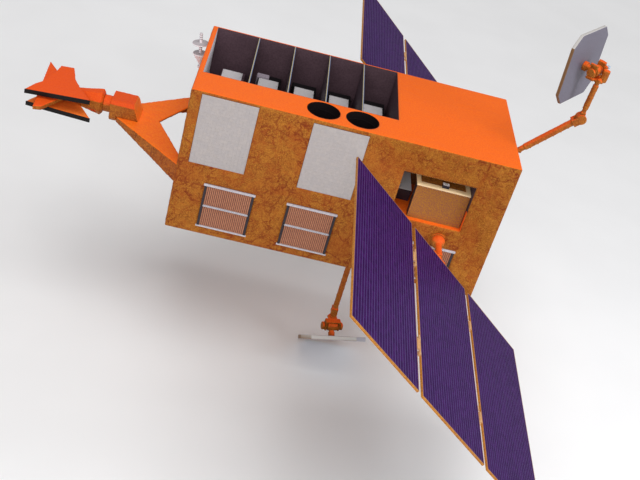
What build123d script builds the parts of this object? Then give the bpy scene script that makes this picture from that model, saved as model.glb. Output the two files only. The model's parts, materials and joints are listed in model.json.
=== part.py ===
# An X-ray timing satellite: a long square body wrapped in blankets, two three-panel solar wings,
# two hinged antenna booms with flat cut-cornered reflectors, a rotating all-sky monitor on a forked
# bracket at the front end, an open detector bay in the upper face and an equipment pocket in the near side.
#
# Frame, in millimetres: origin at the centre of the launch ring's outer plane, +X aft along the body
# towards that ring, +Y to the far wing, +Z up out of the instrument face.
import os
from math import cos, radians, sin
from build123d import *

os.makedirs("parts", exist_ok=True)

# ---------------------------------------------------------------- driving sizes
HALF = 900.0                       # half the body's width and height
AFT, FRONT = -80.0, -3820.0        # the body's two end faces
SPLIT = -1495.0                    # where the bay section meets the equipment section
BAY_FRONT, BAY_NEAR, BAY_FAR = -3768.0, -415.0, 890.0
BAY_FLOOR = 200.0
DIVIDER_X = (-3245.0, -2795.0, -2353.0, -1920.0)
DIVIDER_T, DIVIDER_Z0 = 10.0, 200.0
CELL_FIRST = -3695.0               # start of the first cell's module row
BORE_R, BORE_FLOOR = 190.0, 320.0
BORE_CENTRES = ((-2366.0, -645.0), (-1918.0, -645.0))
POCKET = (-1334.0, -488.0, -900.0, -60.0, -58.0, 543.0)  # x0, x1, y0, y1, z0, z1

RING_R, RING_WEB_R, RING_BORE_R = 472.0, 436.0, 420.0
RING_PCD, RING_HOLES, RING_HOLE_R, RING_FLANGE = 908.0, 24, 5.5, 16.0

WING_X, WING_Z, WING_TILT = -702.0, -234.0, -39.39     # drive axis, and the wing's slope in degrees
PANEL_W, PANEL_GAP, PANEL_T = 1026.0, 62.0, 25.0
WING_IN, WING_OUT = 1299.0, 4098.0                      # |y| of the panels' inner and outer edges
FOLD_OFFSET = 20.0                                      # fold axis above or below the panel's middle
HINGE_Y, HINGE_L = (1930.0, 3405.0), 270.0

MON_R, MON_TOP = (93.0, 146.0), 150.0
BRACKET_TOP, BRACKET_T = -65.0, 32.0
BOOM_R, HEAD_BOOM_R, LOW_BOOM_R = (40.0, 33.0), (33.0, 26.0), (35.0, 27.0)     # along the boom, and near a joint
REFLECTOR_W, REFLECTOR_CUT, REFLECTOR_T = 823.0, 128.0, 40.0


def span(x0, x1, y0, y1, z0, z1, mode=Mode.ADD):
    """A block between two corners, in the block being built."""
    with Locations(((x0 + x1) / 2, (y0 + y1) / 2, (z0 + z1) / 2)):
        Box(x1 - x0, y1 - y0, z1 - z0, mode=mode)


def rod(start, end, r, mode=Mode.ADD):
    """A round bar from start to end."""
    a, b = Vector(*start), Vector(*end)
    with Locations(Plane(origin=a, z_dir=b - a).location):
        Cylinder(r, (b - a).length, align=(Align.CENTER, Align.CENTER, Align.MIN), mode=mode)


def save(built, name):
    built.part.label = name
    export_step(built.part, "parts/%s.step" % name)


# ---------------------------------------------------------------- body
with BuildPart() as equipment_module:
    span(SPLIT, AFT, -HALF, HALF, -HALF, HALF)
    span(POCKET[0], POCKET[1], POCKET[2] - 5, POCKET[3], POCKET[4], POCKET[5], Mode.SUBTRACT)
save(equipment_module, "equipment_module")

with BuildPart() as instrument_module:
    span(FRONT, SPLIT, -HALF, HALF, -HALF, BAY_FLOOR)
save(instrument_module, "instrument_module")

with BuildPart() as front_beam:
    span(FRONT, SPLIT, -HALF, BAY_NEAR, BAY_FLOOR, HALF)
    with BuildSketch(Plane.XY.offset(BORE_FLOOR)):
        with Locations(*BORE_CENTRES):
            Circle(BORE_R)
    extrude(amount=HALF - BORE_FLOOR + 5, mode=Mode.SUBTRACT)
save(front_beam, "front_beam")

with BuildPart() as far_bay_wall:
    span(FRONT, SPLIT, BAY_FAR, HALF, BAY_FLOOR, HALF)
save(far_bay_wall, "far_bay_wall")

with BuildPart() as left_bay_wall:
    span(FRONT, BAY_FRONT, BAY_NEAR, BAY_FAR, BAY_FLOOR, HALF)
save(left_bay_wall, "left_bay_wall")

with BuildPart() as bay_dividers:
    for x in DIVIDER_X:
        span(x - DIVIDER_T / 2, x + DIVIDER_T / 2, BAY_NEAR, BAY_FAR, DIVIDER_Z0, HALF - 4)
save(bay_dividers, "bay_dividers")

# one detector module, its black base and its white electronics in each of the five cells
CELLS = tuple(zip((CELL_FIRST,) + DIVIDER_X, DIVIDER_X + (SPLIT,)))
MODULE_TOP, BASE_TOP, BOX_TOP = 278.0, 300.0, 487.0
BOX_OFFSET, BOX_W = 100.0, 245.0
with BuildPart() as detector_modules:
    for x0, x1 in CELLS:
        span(x0 + 22, x1 - 22, BAY_NEAR + 25, BAY_FAR - 25, BAY_FLOOR, MODULE_TOP)
save(detector_modules, "detector_modules")

with BuildPart() as detector_bases:
    for k, (x0, x1) in enumerate(CELLS):
        span(x0 + BOX_OFFSET - 12, x0 + BOX_OFFSET + BOX_W + 32, 404, 716, MODULE_TOP, 462)
        if k:
            span(x0 + (226 if k == 1 else 68), x0 + 372, 668, 795, MODULE_TOP, 480)
save(detector_bases, "detector_bases")

with BuildPart() as detector_electronics:
    for x0, x1 in CELLS:
        span(x0 + BOX_OFFSET, x0 + BOX_OFFSET + BOX_W, 420, 664, 462, BOX_TOP)
    span(CELLS[1][0] + 66, CELLS[1][0] + 222, 720, 826, MODULE_TOP, 478)     # a small unit behind the second box
save(detector_electronics, "detector_electronics")

with BuildPart() as round_detectors:
    with BuildSketch(Plane.XY.offset(BORE_FLOOR)):
        for cx, cy in BORE_CENTRES:
            for dx, dy in ((-1, -1), (1, -1), (1, 1), (-1, 1)):
                with Locations((cx + 66 * dx, cy + 66 * dy)):
                    Circle(58)
    extrude(amount=170)
save(round_detectors, "round_detectors")

# ---------------------------------------------------------------- things on the two sides
SIDES = (("near", -1), ("far", 1))
RADIATORS = ((-3700, -3068, 14, 872), (-2451, -1820, 14, 853))            # x0, x1, z0, z1
LOUVRES = ((-3465, -2888, -799, -217), (-2497, -1920, -799, -217), (-1040, -465, -829, -333))
RADIATOR_T, LOUVRE_T = 8.0, 22.0
with BuildPart() as radiators:
    for side, sg in SIDES:
        for x0, x1, z0, z1 in RADIATORS:
            a, b = sorted((sg * HALF, sg * (HALF + RADIATOR_T)))
            span(x0, x1, a, b, z0, z1)
save(radiators, "radiators")

with BuildPart() as louvre_frames:
    for side, sg in SIDES:
        a, b = sorted((sg * HALF, sg * (HALF + LOUVRE_T)))
        for x0, x1, z0, z1 in LOUVRES:
            mid = (z0 + z1) / 2
            span(x0, x1, a, b, z0, z1)
            span(x0 + 26, x1 - 26, a - 1, b + 1, z0 + 18, mid - 10, Mode.SUBTRACT)
            span(x0 + 26, x1 - 26, a - 1, b + 1, mid + 10, z1 - 24, Mode.SUBTRACT)
save(louvre_frames, "louvre_frames")

with BuildPart() as louvre_blades:
    for side, sg in SIDES:
        a, b = sorted((sg * HALF, sg * (HALF + 10)))
        for x0, x1, z0, z1 in LOUVRES:
            mid = (z0 + z1) / 2
            span(x0 + 27, x1 - 27, a, b, z0 + 19, mid - 11)
            span(x0 + 27, x1 - 27, a, b, mid + 11, z1 - 25)
save(louvre_blades, "louvre_blades")

# equipment pocket: a large box, the U-shaped frame on it, a small sensor and a tall unit at the left
ELEC = (-1130.0, -497.0, -840.0, -715.0, -58.0, 374.0)
with BuildPart() as electronics_box:
    span(*ELEC)
    span(-1092, ELEC[1], ELEC[3], -512, ELEC[4], ELEC[5])
save(electronics_box, "electronics_box")

with BuildPart() as instrument_frame:
    span(-1134, -495, -842, -762, 374, 392)
    span(-1134, -1082, -762, -520, 374, 392)
    span(-547, -495, -762, -520, 374, 392)
save(instrument_frame, "instrument_frame")

with BuildPart() as sun_sensor:
    span(-842, -764, -810, -745, 392, 440)
save(sun_sensor, "sun_sensor")

with BuildPart() as tracker_unit:
    span(-1290, -1106, -502, -70, -58, 92)
save(tracker_unit, "tracker_unit")

# ---------------------------------------------------------------- launch ring
with BuildPart() as launch_ring:
    with BuildSketch(Plane.XZ):
        with BuildLine():
            Polyline((AFT, RING_BORE_R), (0, RING_BORE_R), (0, RING_R), (-RING_FLANGE, RING_R),
                     (-RING_FLANGE, RING_WEB_R), (AFT + 12, RING_WEB_R), (AFT + 12, RING_R), (AFT, RING_R), close=True)
        make_face()
    revolve(axis=Axis.X)
    with BuildSketch(Plane.YZ.offset(-RING_FLANGE - 1)):
        with PolarLocations(RING_PCD / 2, RING_HOLES):
            Circle(RING_HOLE_R)
    extrude(amount=RING_FLANGE + 3, mode=Mode.SUBTRACT)
save(launch_ring, "launch_ring")

# ---------------------------------------------------------------- all-sky monitor
with BuildPart() as monitor_bracket:
    with BuildSketch(Plane.XY.offset(-303)):
        with BuildLine():
            Polyline((-4676, -150), (FRONT, -895), (FRONT, -690), (-4180, 0), (FRONT, 690), (FRONT, 895), (-4676, 150), close=True)
        make_face()
    extrude(amount=303 + BRACKET_TOP)
    # the underside rises towards the hub
    with BuildSketch(Plane.XZ.offset(-1000)):
        with BuildLine():
            Polyline((-4700, -131), (-3800, -307), (-3800, -330), (-4700, -330), close=True)
        make_face()
    extrude(amount=2000, mode=Mode.SUBTRACT)
    # below the plate only a web along each outer edge and the nose is left, with a foot at the body
    with BuildSketch(Plane.XY.offset(-400)):
        with BuildLine():
            Polyline((-4646, -136.4), (-3790, -881.6), (-3790, 881.6), (-4646, 136.4), close=True)
        make_face()
    extrude(amount=400 + BRACKET_TOP - BRACKET_T, mode=Mode.SUBTRACT)
    for sg in (-1, 1):
        y0, y1 = sorted((sg * 690, sg * 880))
        span(FRONT - 20, FRONT, y0, y1, -300, BRACKET_TOP - 5)
save(monitor_bracket, "monitor_bracket")

with BuildPart() as monitor_drive:
    # its body-side end slopes down onto the bracket
    with BuildSketch(Plane.XZ.offset(-165)):
        with BuildLine():
            Polyline((-4765, -150), (-4765, 126), (-4490, 126), (-4412, BRACKET_TOP), (-4680, BRACKET_TOP), (-4680, -150), close=True)
        make_face()
    extrude(amount=330)
    chamfer([e for e in monitor_drive.edges().filter_by(Axis.X) if abs(abs(e.center().Y) - 165) < 1 and abs(e.center().Z - 126) < 1], 38)
    chamfer([e for e in monitor_drive.edges().filter_by(Axis.X) if abs(abs(e.center().Y) - 165) < 1 and abs(e.center().Z + 150) < 1], 60)
save(monitor_drive, "monitor_drive")

with BuildPart() as monitor_shaft:
    rod((-4860, 0, 0), (-4771, 0, 0), 100)
save(monitor_shaft, "monitor_shaft")

with BuildPart() as monitor_hub:
    # widens from the cameras to its end plate
    for x0, r0, x1, r1 in ((-5190, MON_R[0], -4888, MON_R[1]), (-4888, MON_R[1], -4860, 114.0)):
        with BuildSketch(Plane.YZ.offset(x0)):
            RegularPolygon(r0, 8, major_radius=False, rotation=22.5)
        with BuildSketch(Plane.YZ.offset(x1)):
            RegularPolygon(r1, 8, major_radius=False, rotation=22.5)
        loft()
    span(-5200, -4930, -300, -48, -114, -58, Mode.SUBTRACT)            # slot for the lower camera
save(monitor_hub, "monitor_hub")

# each camera is a flat flared horn: outline seen from above, bottom and top
UPPER = ((-5704, -400), (-4979, -312), (-5165, -40), (-5246, 110), (-5330, 395), (-5484, 365), (-5500, 215), (-5579, -124), (-5640, -225))
LOWER = ((-5702, -289), (-4946, -345), (-5134, -56), (-5379, -70), (-5630, -128))
SIDE = ((-5558, -590), (-5470, -560), (-5354, -330), (-5262, -150), (-5262, 150), (-5513, 367), (-5650, 572), (-5662, 572))
CAMERAS = (("upper_camera", UPPER, 100.0, MON_TOP), ("lower_camera", LOWER, -112.0, -62.0), ("side_camera", SIDE, 12.0, 65.0))
for name, outline, z0, z1 in CAMERAS:
    with BuildPart() as camera:
        with BuildSketch(Plane.XY.offset(z0)):
            with BuildLine():
                Polyline(*outline, close=True)
            make_face()
        extrude(amount=z1 - z0)
        if name == "side_camera":
            with BuildSketch(Plane.XY.offset(z0 + 8)):
                with BuildLine():
                    Polyline((-5800, -560), (-5540, -560), (-5635, 545), (-5800, 545), close=True)
                make_face()
            extrude(amount=z1 - z0 - 16, mode=Mode.SUBTRACT)
    save(camera, name)

with BuildPart() as camera_spine:
    span(-5440, -5262, -48, 90, -62, 12)
    span(-5440, -5262, -48, 90, 65, 100)
    span(-5262, -5190, -48, 90, -62, 100)
save(camera_spine, "camera_spine")

with BuildPart() as camera_masks:
    with BuildSketch(Plane.XY.offset(98)):
        with BuildLine():
            Polyline((-5708, -400.7), (-5708, -414), (-4975, -326), (-4975, -311.8), close=True)
        make_face()
    extrude(amount=50)
    with BuildSketch(Plane.XY.offset(-114)):
        with BuildLine():
            Polyline((-5706, -289.1), (-5706, -302), (-4942, -358.4), (-4942, -345.6), close=True)
        make_face()
    extrude(amount=50)
    with BuildSketch(Plane.XY.offset(21)):
        with BuildLine():
            Polyline((-5561, -559), (-5543, -559), (-5636, 544), (-5656, 544), close=True)
        make_face()
    extrude(amount=35)
save(camera_masks, "camera_masks")

# ---------------------------------------------------------------- low-gain antenna at the far front corner
LGA_FOOT = Vector(-3893, 750, 424)
LGA_DIR = Vector(-0.13, 0, 0.9915)
lga_plane = Plane(origin=LGA_FOOT, x_dir=(0, 1, 0), z_dir=LGA_DIR)
with BuildPart() as low_gain_mast:
    span(FRONT - 95, FRONT, 728, 772, 384, 409)
    low, high = LGA_FOOT - LGA_DIR * 24, LGA_FOOT + LGA_DIR * 8
    rod((low.X, low.Y, low.Z), (high.X, high.Y, high.Z), 12)
save(low_gain_mast, "low_gain_mast")

with BuildPart() as low_gain_antenna:
    cone = Plane(origin=LGA_FOOT, x_dir=(0, 1, 0), z_dir=(LGA_DIR.cross(Vector(0, 1, 0))) * -1)
    with BuildSketch(cone) as lga_sketch:
        with BuildLine():
            Polyline((0, 8), (14, 8), (92, 148), (88, 156), (18, 158), (18, 270), (98, 273), (104, 279),
                     (101, 288), (18, 292), (18, 412), (0, 412), close=True)
        make_face()
    revolve(axis=Axis(LGA_FOOT, LGA_DIR))
save(low_gain_antenna, "low_gain_antenna")

# ---------------------------------------------------------------- solar wings
d_dir = (cos(radians(WING_TILT)), 0, sin(radians(WING_TILT)))
n_dir = (-sin(radians(WING_TILT)), 0, cos(radians(WING_TILT)))
wing = Plane(origin=(WING_X, 0, WING_Z), x_dir=d_dir, z_dir=n_dir)   # local x across the wing, y outboard, z out of the cells
H_IN = PANEL_W / 2
HINGE_S = H_IN + PANEL_GAP / 2


def wing_block(s0, s1, y0, y1, n0, n1):
    """A block in the wing's own axes."""
    middle = wing.from_local_coords(Vector((s0 + s1) / 2, (y0 + y1) / 2, (n0 + n1) / 2))
    with Locations(Plane(origin=middle, x_dir=d_dir, z_dir=n_dir).location):
        Box(s1 - s0, y1 - y0, n1 - n0)


def wing_rod(s, n, y0, y1, r):
    p = wing.from_local_coords(Vector(s, y0, n))
    q = wing.from_local_coords(Vector(s, y1, n))
    rod((p.X, p.Y, p.Z), (q.X, q.Y, q.Z), r)


for side, sg in SIDES:
    with BuildPart() as array_drive:
        rod((WING_X, sg * HALF, WING_Z), (WING_X, sg * (HALF + 12), WING_Z), 88)
    save(array_drive, side + "_array_drive")

    with BuildPart() as array_boom:
        with Locations((WING_X, sg * 952, WING_Z)):
            Sphere(84)
        lo, hi = sorted((sg * 860, sg * 917))
        span(WING_X - 100, WING_X + 100, lo, hi, WING_Z - 100, WING_Z + 100, Mode.SUBTRACT)
        rod((WING_X, sg * 990, WING_Z), (WING_X, sg * 1262, WING_Z), 40)
        lo, hi = sorted((sg * 1258, sg * (WING_IN - 0.0)))
        wing_block(-110, 110, lo, hi, -12, 12)
    save(array_boom, side + "_array_boom")

    lo, hi = sorted((sg * WING_IN, sg * WING_OUT))
    # name, centre across the wing
    for name, s in (("left", -(PANEL_W + PANEL_GAP)), ("centre", 0.0), ("right", PANEL_W + PANEL_GAP)):
        with BuildPart() as panel:
            wing_block(s - H_IN, s + H_IN, lo, hi, -PANEL_T / 2, PANEL_T / 2)
        save(panel, "%s_%s_panel" % (side, name))

    # hinge blocks: the left fold is on the cell side, the right fold on the back
    with BuildPart() as centre_hinges:
        for e, up in ((-1, 1), (1, -1)):
            for y in HINGE_Y:
                for k in (-1, 1):
                    y0 = sg * y + k * (HINGE_L / 2 - 28) - 28
                    s0, s1 = sorted((e * H_IN, e * (H_IN + 28)))
                    wing_block(s0, s1, y0, y0 + 56, -11, 11)
                    s0, s1 = sorted((e * (HINGE_S - 24), e * HINGE_S))
                    n0, n1 = sorted((up * 5, up * FOLD_OFFSET))
                    wing_block(s0, s1, y0, y0 + 56, n0, n1)
                    wing_rod(e * HINGE_S, up * FOLD_OFFSET, y0, y0 + 56, 9)
    save(centre_hinges, side + "_centre_hinges")

    for name, e, up in (("left", -1, 1), ("right", 1, -1)):
        with BuildPart() as outer_hinges:
            for y in HINGE_Y:
                y0, y1 = sg * y - HINGE_L / 2 + 60, sg * y + HINGE_L / 2 - 60
                s0, s1 = sorted((e * (HINGE_S + 3), e * (HINGE_S + PANEL_GAP / 2)))
                wing_block(s0, s1, y0, y1, -11, 11)
                s0, s1 = sorted((e * HINGE_S, e * (HINGE_S + 24)))
                n0, n1 = sorted((up * 5, up * FOLD_OFFSET))
                wing_block(s0, s1, y0, y1, n0, n1)
                wing_rod(e * HINGE_S, up * FOLD_OFFSET, y0, y1, 9)
        save(outer_hinges, "%s_%s_hinges" % (side, name))

# ---------------------------------------------------------------- upper antenna: root, elbow and boom
UP_Y = -350.0
UP_HINGE = 868.0
UP_ROOT = (-50.0, UP_Y, 886.0)
UP_ELBOW = (486.0, UP_Y, 1437.0)
UP_HEAD = (500.0, UP_Y, 1900.0)
lower_dir = (Vector(*UP_ELBOW) - Vector(*UP_ROOT)).normalized()
upper_dir = (Vector(*UP_HEAD) - Vector(*UP_ELBOW)).normalized()


def along(point, direction, dist):
    p = Vector(*point) + direction * dist
    return (p.X, p.Y, p.Z)


with BuildPart() as upper_antenna_root:
    span(AFT, AFT + 10, UP_Y - 60, UP_Y + 60, 770, 895)
    rod((AFT + 10, UP_Y, UP_HINGE), (AFT + 14, UP_Y, UP_HINGE), 28)
save(upper_antenna_root, "upper_antenna_root")

with BuildPart() as upper_antenna_lower_boom:
    rod((AFT + 19, UP_Y, UP_HINGE), (AFT + 66, UP_Y, UP_HINGE), 32)
    start = (AFT + 46, UP_Y, UP_HINGE + 14)
    rod(start, along(UP_ELBOW, lower_dir, -88), BOOM_R[1])
    rod(along(start, lower_dir, 56), along(UP_ELBOW, lower_dir, -96), BOOM_R[0])
    # fork at the elbow
    for k in (-1, 1):
        y0, y1 = sorted((UP_Y + k * 32, UP_Y + k * 56))
        rod((UP_ELBOW[0], y0, UP_ELBOW[2]), (UP_ELBOW[0], y1, UP_ELBOW[2]), 60)
        fork = Plane(origin=(UP_ELBOW[0], y0, UP_ELBOW[2]), x_dir=lower_dir, z_dir=(0, 1, 0))
        with BuildSketch(fork):
            with Locations((-52, 0)):
                Rectangle(104, 90)
        extrude(amount=y1 - y0)
    bridge = Plane(origin=(UP_ELBOW[0], UP_Y - 56, UP_ELBOW[2]), x_dir=lower_dir, z_dir=(0, 1, 0))
    with BuildSketch(bridge):
        with Locations((-88, 0)):
            Rectangle(32, 90)
    extrude(amount=112)
save(upper_antenna_lower_boom, "upper_antenna_lower_boom")

with BuildPart() as upper_antenna_upper_boom:
    rod((UP_ELBOW[0], UP_Y - 26, UP_ELBOW[2]), (UP_ELBOW[0], UP_Y + 26, UP_ELBOW[2]), 58)
    neck = Plane(origin=(UP_ELBOW[0], UP_Y - 26, UP_ELBOW[2]), x_dir=upper_dir, z_dir=(0, 1, 0))
    with BuildSketch(neck):
        with Locations((50, 0)):
            Rectangle(60, 60)
    extrude(amount=52)
    rod(along(UP_ELBOW, upper_dir, 70), UP_HEAD, HEAD_BOOM_R[1])
    rod(along(UP_ELBOW, upper_dir, 122), along(UP_HEAD, upper_dir, -40), HEAD_BOOM_R[0])
save(upper_antenna_upper_boom, "upper_antenna_upper_boom")

# ---------------------------------------------------------------- lower antenna: root, boom and knuckle
LOW_X, LOW_Y = -1526.0, -400.0
LOW_HINGE, LOW_ELBOW = -1040.0, -1960.0
with BuildPart() as lower_antenna_root:
    span(LOW_X - 90, LOW_X + 90, LOW_Y - 90, LOW_Y + 90, -HALF - 12, -HALF)
    for k in (-1, 1):
        y0, y1 = sorted((LOW_Y + k * 40, LOW_Y + k * 62))
        span(LOW_X - 45, LOW_X + 45, y0, y1, LOW_HINGE, -HALF - 12)
        rod((LOW_X, y0, LOW_HINGE), (LOW_X, y1, LOW_HINGE), 45)
save(lower_antenna_root, "lower_antenna_root")

with BuildPart() as lower_antenna_boom:
    rod((LOW_X, LOW_Y - 34, LOW_HINGE), (LOW_X, LOW_Y + 34, LOW_HINGE), 45)
    rod((LOW_X, LOW_Y, LOW_HINGE - 20), (LOW_X, LOW_Y, LOW_ELBOW + 60), LOW_BOOM_R[1])
    rod((LOW_X, LOW_Y, LOW_HINGE - 80), (LOW_X, LOW_Y, LOW_ELBOW + 78), LOW_BOOM_R[0])
    span(LOW_X - 42, LOW_X + 42, LOW_Y - 52, LOW_Y + 52, LOW_ELBOW + 51, LOW_ELBOW + 78)
    for k in (-1, 1):
        y0, y1 = sorted((LOW_Y + k * 32, LOW_Y + k * 52))
        span(LOW_X - 42, LOW_X + 42, y0, y1, LOW_ELBOW, LOW_ELBOW + 60)
        rod((LOW_X, y0, LOW_ELBOW), (LOW_X, y1, LOW_ELBOW), 45)
save(lower_antenna_boom, "lower_antenna_boom")

with BuildPart() as lower_antenna_knuckle:
    rod((LOW_X, LOW_Y - 26, LOW_ELBOW), (LOW_X, LOW_Y + 26, LOW_ELBOW), 44)
    span(LOW_X - 26, LOW_X + 26, LOW_Y - 26, LOW_Y + 26, LOW_ELBOW - 60, LOW_ELBOW)
    rod((LOW_X, LOW_Y, LOW_ELBOW - 66), (LOW_X, LOW_Y, LOW_ELBOW - 56), 50)
save(lower_antenna_knuckle, "lower_antenna_knuckle")

# ---------------------------------------------------------------- gimbals and reflectors of both antennas
# prefix, azimuth axis x and y, outward sign, azimuth base z, reflector normal, reflector's turn about it,
# how far the yoke's cheeks rise above the elevation axis, the reflector's distance and flange, the azimuth
# motor's local x and y, top and radius, and the reflector's thickness
HEADS = (
    ("upper_antenna", UP_HEAD[0], UP_Y, 1, UP_HEAD[2] + 5, (-0.796, 0.604, -0.045), -2.0, 98, 174.0, 56.0, (-38, -26, 156, 38), REFLECTOR_T),
    ("lower_antenna", LOW_X, LOW_Y, -1, LOW_ELBOW - 71, (0.1718, -0.6259, -0.7608), 14.0, 50, 158.0, 42.0, (-46, -22, 98, 42), REFLECTOR_T + 14),
)
EL_OFF, EL_RISE, DRUM_R = 70.0, 101.0, 60.0
for prefix, ax, ay, out, zb, n, turn, cheek, off, flange, motor, thick in HEADS:
    nh = Vector(n[0], n[1], 0).normalized()
    base = Plane(origin=(ax, ay, zb), x_dir=nh, z_dir=(0, 0, out))


    def at(x, y, z):
        p = base.from_local_coords(Vector(x, y, z))
        return (p.X, p.Y, p.Z)


    with BuildPart() as azimuth_gimbal:
        with BuildSketch(base):
            Circle(58)
        extrude(amount=26)
        with BuildSketch(base.offset(10)):
            with Locations((38, 0)):
                Rectangle(150, 120)
            with Locations((EL_OFF, 0)):
                Rectangle(86, 200)
        extrude(amount=22)
        with BuildSketch(base.offset(10)):
            with Locations((EL_OFF, -87), (EL_OFF, 87)):
                Rectangle(86, 26)
        extrude(amount=EL_RISE + cheek - 10)
        # azimuth motor behind the yoke, and a small sensor on a stub
        rod(at(motor[0], motor[1], 14), at(motor[0], motor[1], motor[2]), motor[3])
        rod(at(EL_OFF - 40, -87, EL_RISE + cheek - 26), at(-18, -87, EL_RISE + cheek - 26), 8)
        rod(at(-32, -87, EL_RISE + cheek - 26), at(-10, -87, EL_RISE + cheek - 26), 15)
        # bearing holes in the two cheeks
        rod(at(EL_OFF, -110, EL_RISE), at(EL_OFF, 110, EL_RISE), 18, Mode.SUBTRACT)
    save(azimuth_gimbal, prefix + "_azimuth_gimbal")

    g = base.from_local_coords(Vector(EL_OFF, 0, EL_RISE))
    nv = Vector(*n).normalized()
    with BuildPart() as elevation_gimbal:
        rod(at(EL_OFF, -66, EL_RISE), at(EL_OFF, 66, EL_RISE), DRUM_R)
        rod(at(EL_OFF, -136, EL_RISE), at(EL_OFF, 136, EL_RISE), 15)
        for k in (-1, 1):
            a, b = sorted((k * 106, k * 138))
            rod(at(EL_OFF, a, EL_RISE), at(EL_OFF, b, EL_RISE), 50)
        q = g + nv * (off - thick / 2)
        p, m = g + nv * 30, g + nv * (off - thick / 2 - 50)
        rod((p.X, p.Y, p.Z), (q.X, q.Y, q.Z), 34)
        rod((m.X, m.Y, m.Z), (q.X, q.Y, q.Z), flange)
    save(elevation_gimbal, prefix + "_elevation_gimbal")

    flat = Vector(0, 0, 1).cross(nv).normalized()
    back = Plane(origin=q, x_dir=flat * cos(radians(turn)) + nv.cross(flat) * sin(radians(turn)), z_dir=nv)
    e, c = REFLECTOR_W / 2, REFLECTOR_W / 2 - REFLECTOR_CUT
    with BuildPart() as reflector:
        with BuildSketch(back):
            with BuildLine():
                Polyline((e, c), (c, e), (-c, e), (-e, c), (-e, -c), (-c, -e), (c, -e), (e, -c), close=True)
            make_face()
        extrude(amount=thick)
        chamfer(reflector.faces().sort_by(Axis((0, 0, 0), (nv.X, nv.Y, nv.Z)))[-1].edges(), 5)
        chamfer(reflector.faces().sort_by(Axis((0, 0, 0), (nv.X, nv.Y, nv.Z)))[0].edges(), 5)
    save(reflector, prefix + "_reflector")
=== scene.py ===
import bpy
import bmesh
import json
import math
import random
import numpy as np
from mathutils import Matrix, Vector, kdtree


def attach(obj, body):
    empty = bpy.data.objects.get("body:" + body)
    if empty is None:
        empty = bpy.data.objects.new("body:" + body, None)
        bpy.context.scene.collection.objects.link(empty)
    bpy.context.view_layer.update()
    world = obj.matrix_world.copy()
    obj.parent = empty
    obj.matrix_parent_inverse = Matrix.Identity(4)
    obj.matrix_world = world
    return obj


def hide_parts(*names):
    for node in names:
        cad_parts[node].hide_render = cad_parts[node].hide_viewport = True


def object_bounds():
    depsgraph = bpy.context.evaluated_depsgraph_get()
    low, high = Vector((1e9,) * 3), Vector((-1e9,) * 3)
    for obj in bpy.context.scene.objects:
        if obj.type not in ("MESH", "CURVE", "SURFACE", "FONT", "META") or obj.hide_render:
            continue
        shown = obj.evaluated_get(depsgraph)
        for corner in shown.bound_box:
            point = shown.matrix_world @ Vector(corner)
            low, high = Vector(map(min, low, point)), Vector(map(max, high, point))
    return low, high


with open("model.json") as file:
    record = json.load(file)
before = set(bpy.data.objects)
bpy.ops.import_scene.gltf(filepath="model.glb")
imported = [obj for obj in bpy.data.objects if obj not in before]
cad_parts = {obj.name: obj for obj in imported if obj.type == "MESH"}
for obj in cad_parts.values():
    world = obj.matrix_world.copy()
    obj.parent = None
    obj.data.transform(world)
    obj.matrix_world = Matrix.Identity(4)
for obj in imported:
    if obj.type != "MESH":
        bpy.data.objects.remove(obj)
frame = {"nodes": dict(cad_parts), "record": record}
CAD_BOX = [list(v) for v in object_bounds()]
NODES = frame["nodes"]
scene = bpy.context.scene
BODY_OF = {n: b for b, group in frame["record"]["behaviour"]["bodies"].items() for n in group}

# ------------------------------------------------------------------ sizes shared with the solid model, in metres
HALF, AFT, FRONT, SPLIT = 0.900, -0.080, -3.820, -1.495
BAY_FRONT, BAY_NEAR, BAY_FAR, BAY_FLOOR = -3.768, -0.415, 0.890, 0.200
DIVIDERS = (-3.245, -2.795, -2.353, -1.920)
CELL_FIRST = -3.695
BORES, BORE_R = ((-2.366, -0.645), (-1.918, -0.645)), 0.190
POCKET = (-1.334, -0.488, -0.900, -0.060, -0.058, 0.543)
RADIATORS = ((-3.700, -3.068, 0.014, 0.872), (-2.451, -1.820, 0.014, 0.853))
LOUVRES = ((-3.465, -2.888, -0.799, -0.217), (-2.497, -1.920, -0.799, -0.217), (-1.040, -0.465, -0.829, -0.333))
WING_X, WING_Z, WING_TILT = -0.702, -0.234, math.radians(-39.39)
PANEL_W, PANEL_GAP, PANEL_T = 1.026, 0.062, 0.025
WING_IN, WING_OUT = 1.299, 4.098
DD = Vector((math.cos(WING_TILT), 0, math.sin(WING_TILT)))       # across the wing
NN = Vector((-math.sin(WING_TILT), 0, math.cos(WING_TILT)))      # out of the cell side

# ------------------------------------------------------------------ camera
cam_data = bpy.data.cameras.new("view")
cam_data.lens, cam_data.sensor_width, cam_data.sensor_fit = 59.2026, 36.0, "HORIZONTAL"
cam_data.clip_start, cam_data.clip_end = 0.1, 200.0
camera = bpy.data.objects.new("view", cam_data)
scene.collection.objects.link(camera)
right, down, ahead = Vector((0.9692, 0.0490, 0.2415)), Vector((0.2284, -0.5469, -0.8054)), Vector((0.0926, 0.8358, -0.5412))
turn = Matrix((right, -down, -ahead)).transposed().to_quaternion()
camera.matrix_world = Matrix.Translation((-3.1624, -11.2063, 6.0621)) @ turn.to_matrix().to_4x4()
scene.camera = camera


# ------------------------------------------------------------------ noise and small helpers
def lin(r, g, b):
    """A colour given as 0 to 255 display values, as linear light."""
    out = []
    for c in (r, g, b):
        c /= 255.0
        out.append(c / 12.92 if c <= 0.04045 else ((c + 0.055) / 1.055) ** 2.4)
    return tuple(out)


def lattice(seed):
    rng = np.random.default_rng(seed)
    perm = rng.permutation(256)
    grad = rng.normal(size=(256, 3))
    grad /= np.linalg.norm(grad, axis=1)[:, None]
    return np.concatenate([perm, perm]), grad


TABLES = {}


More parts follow.
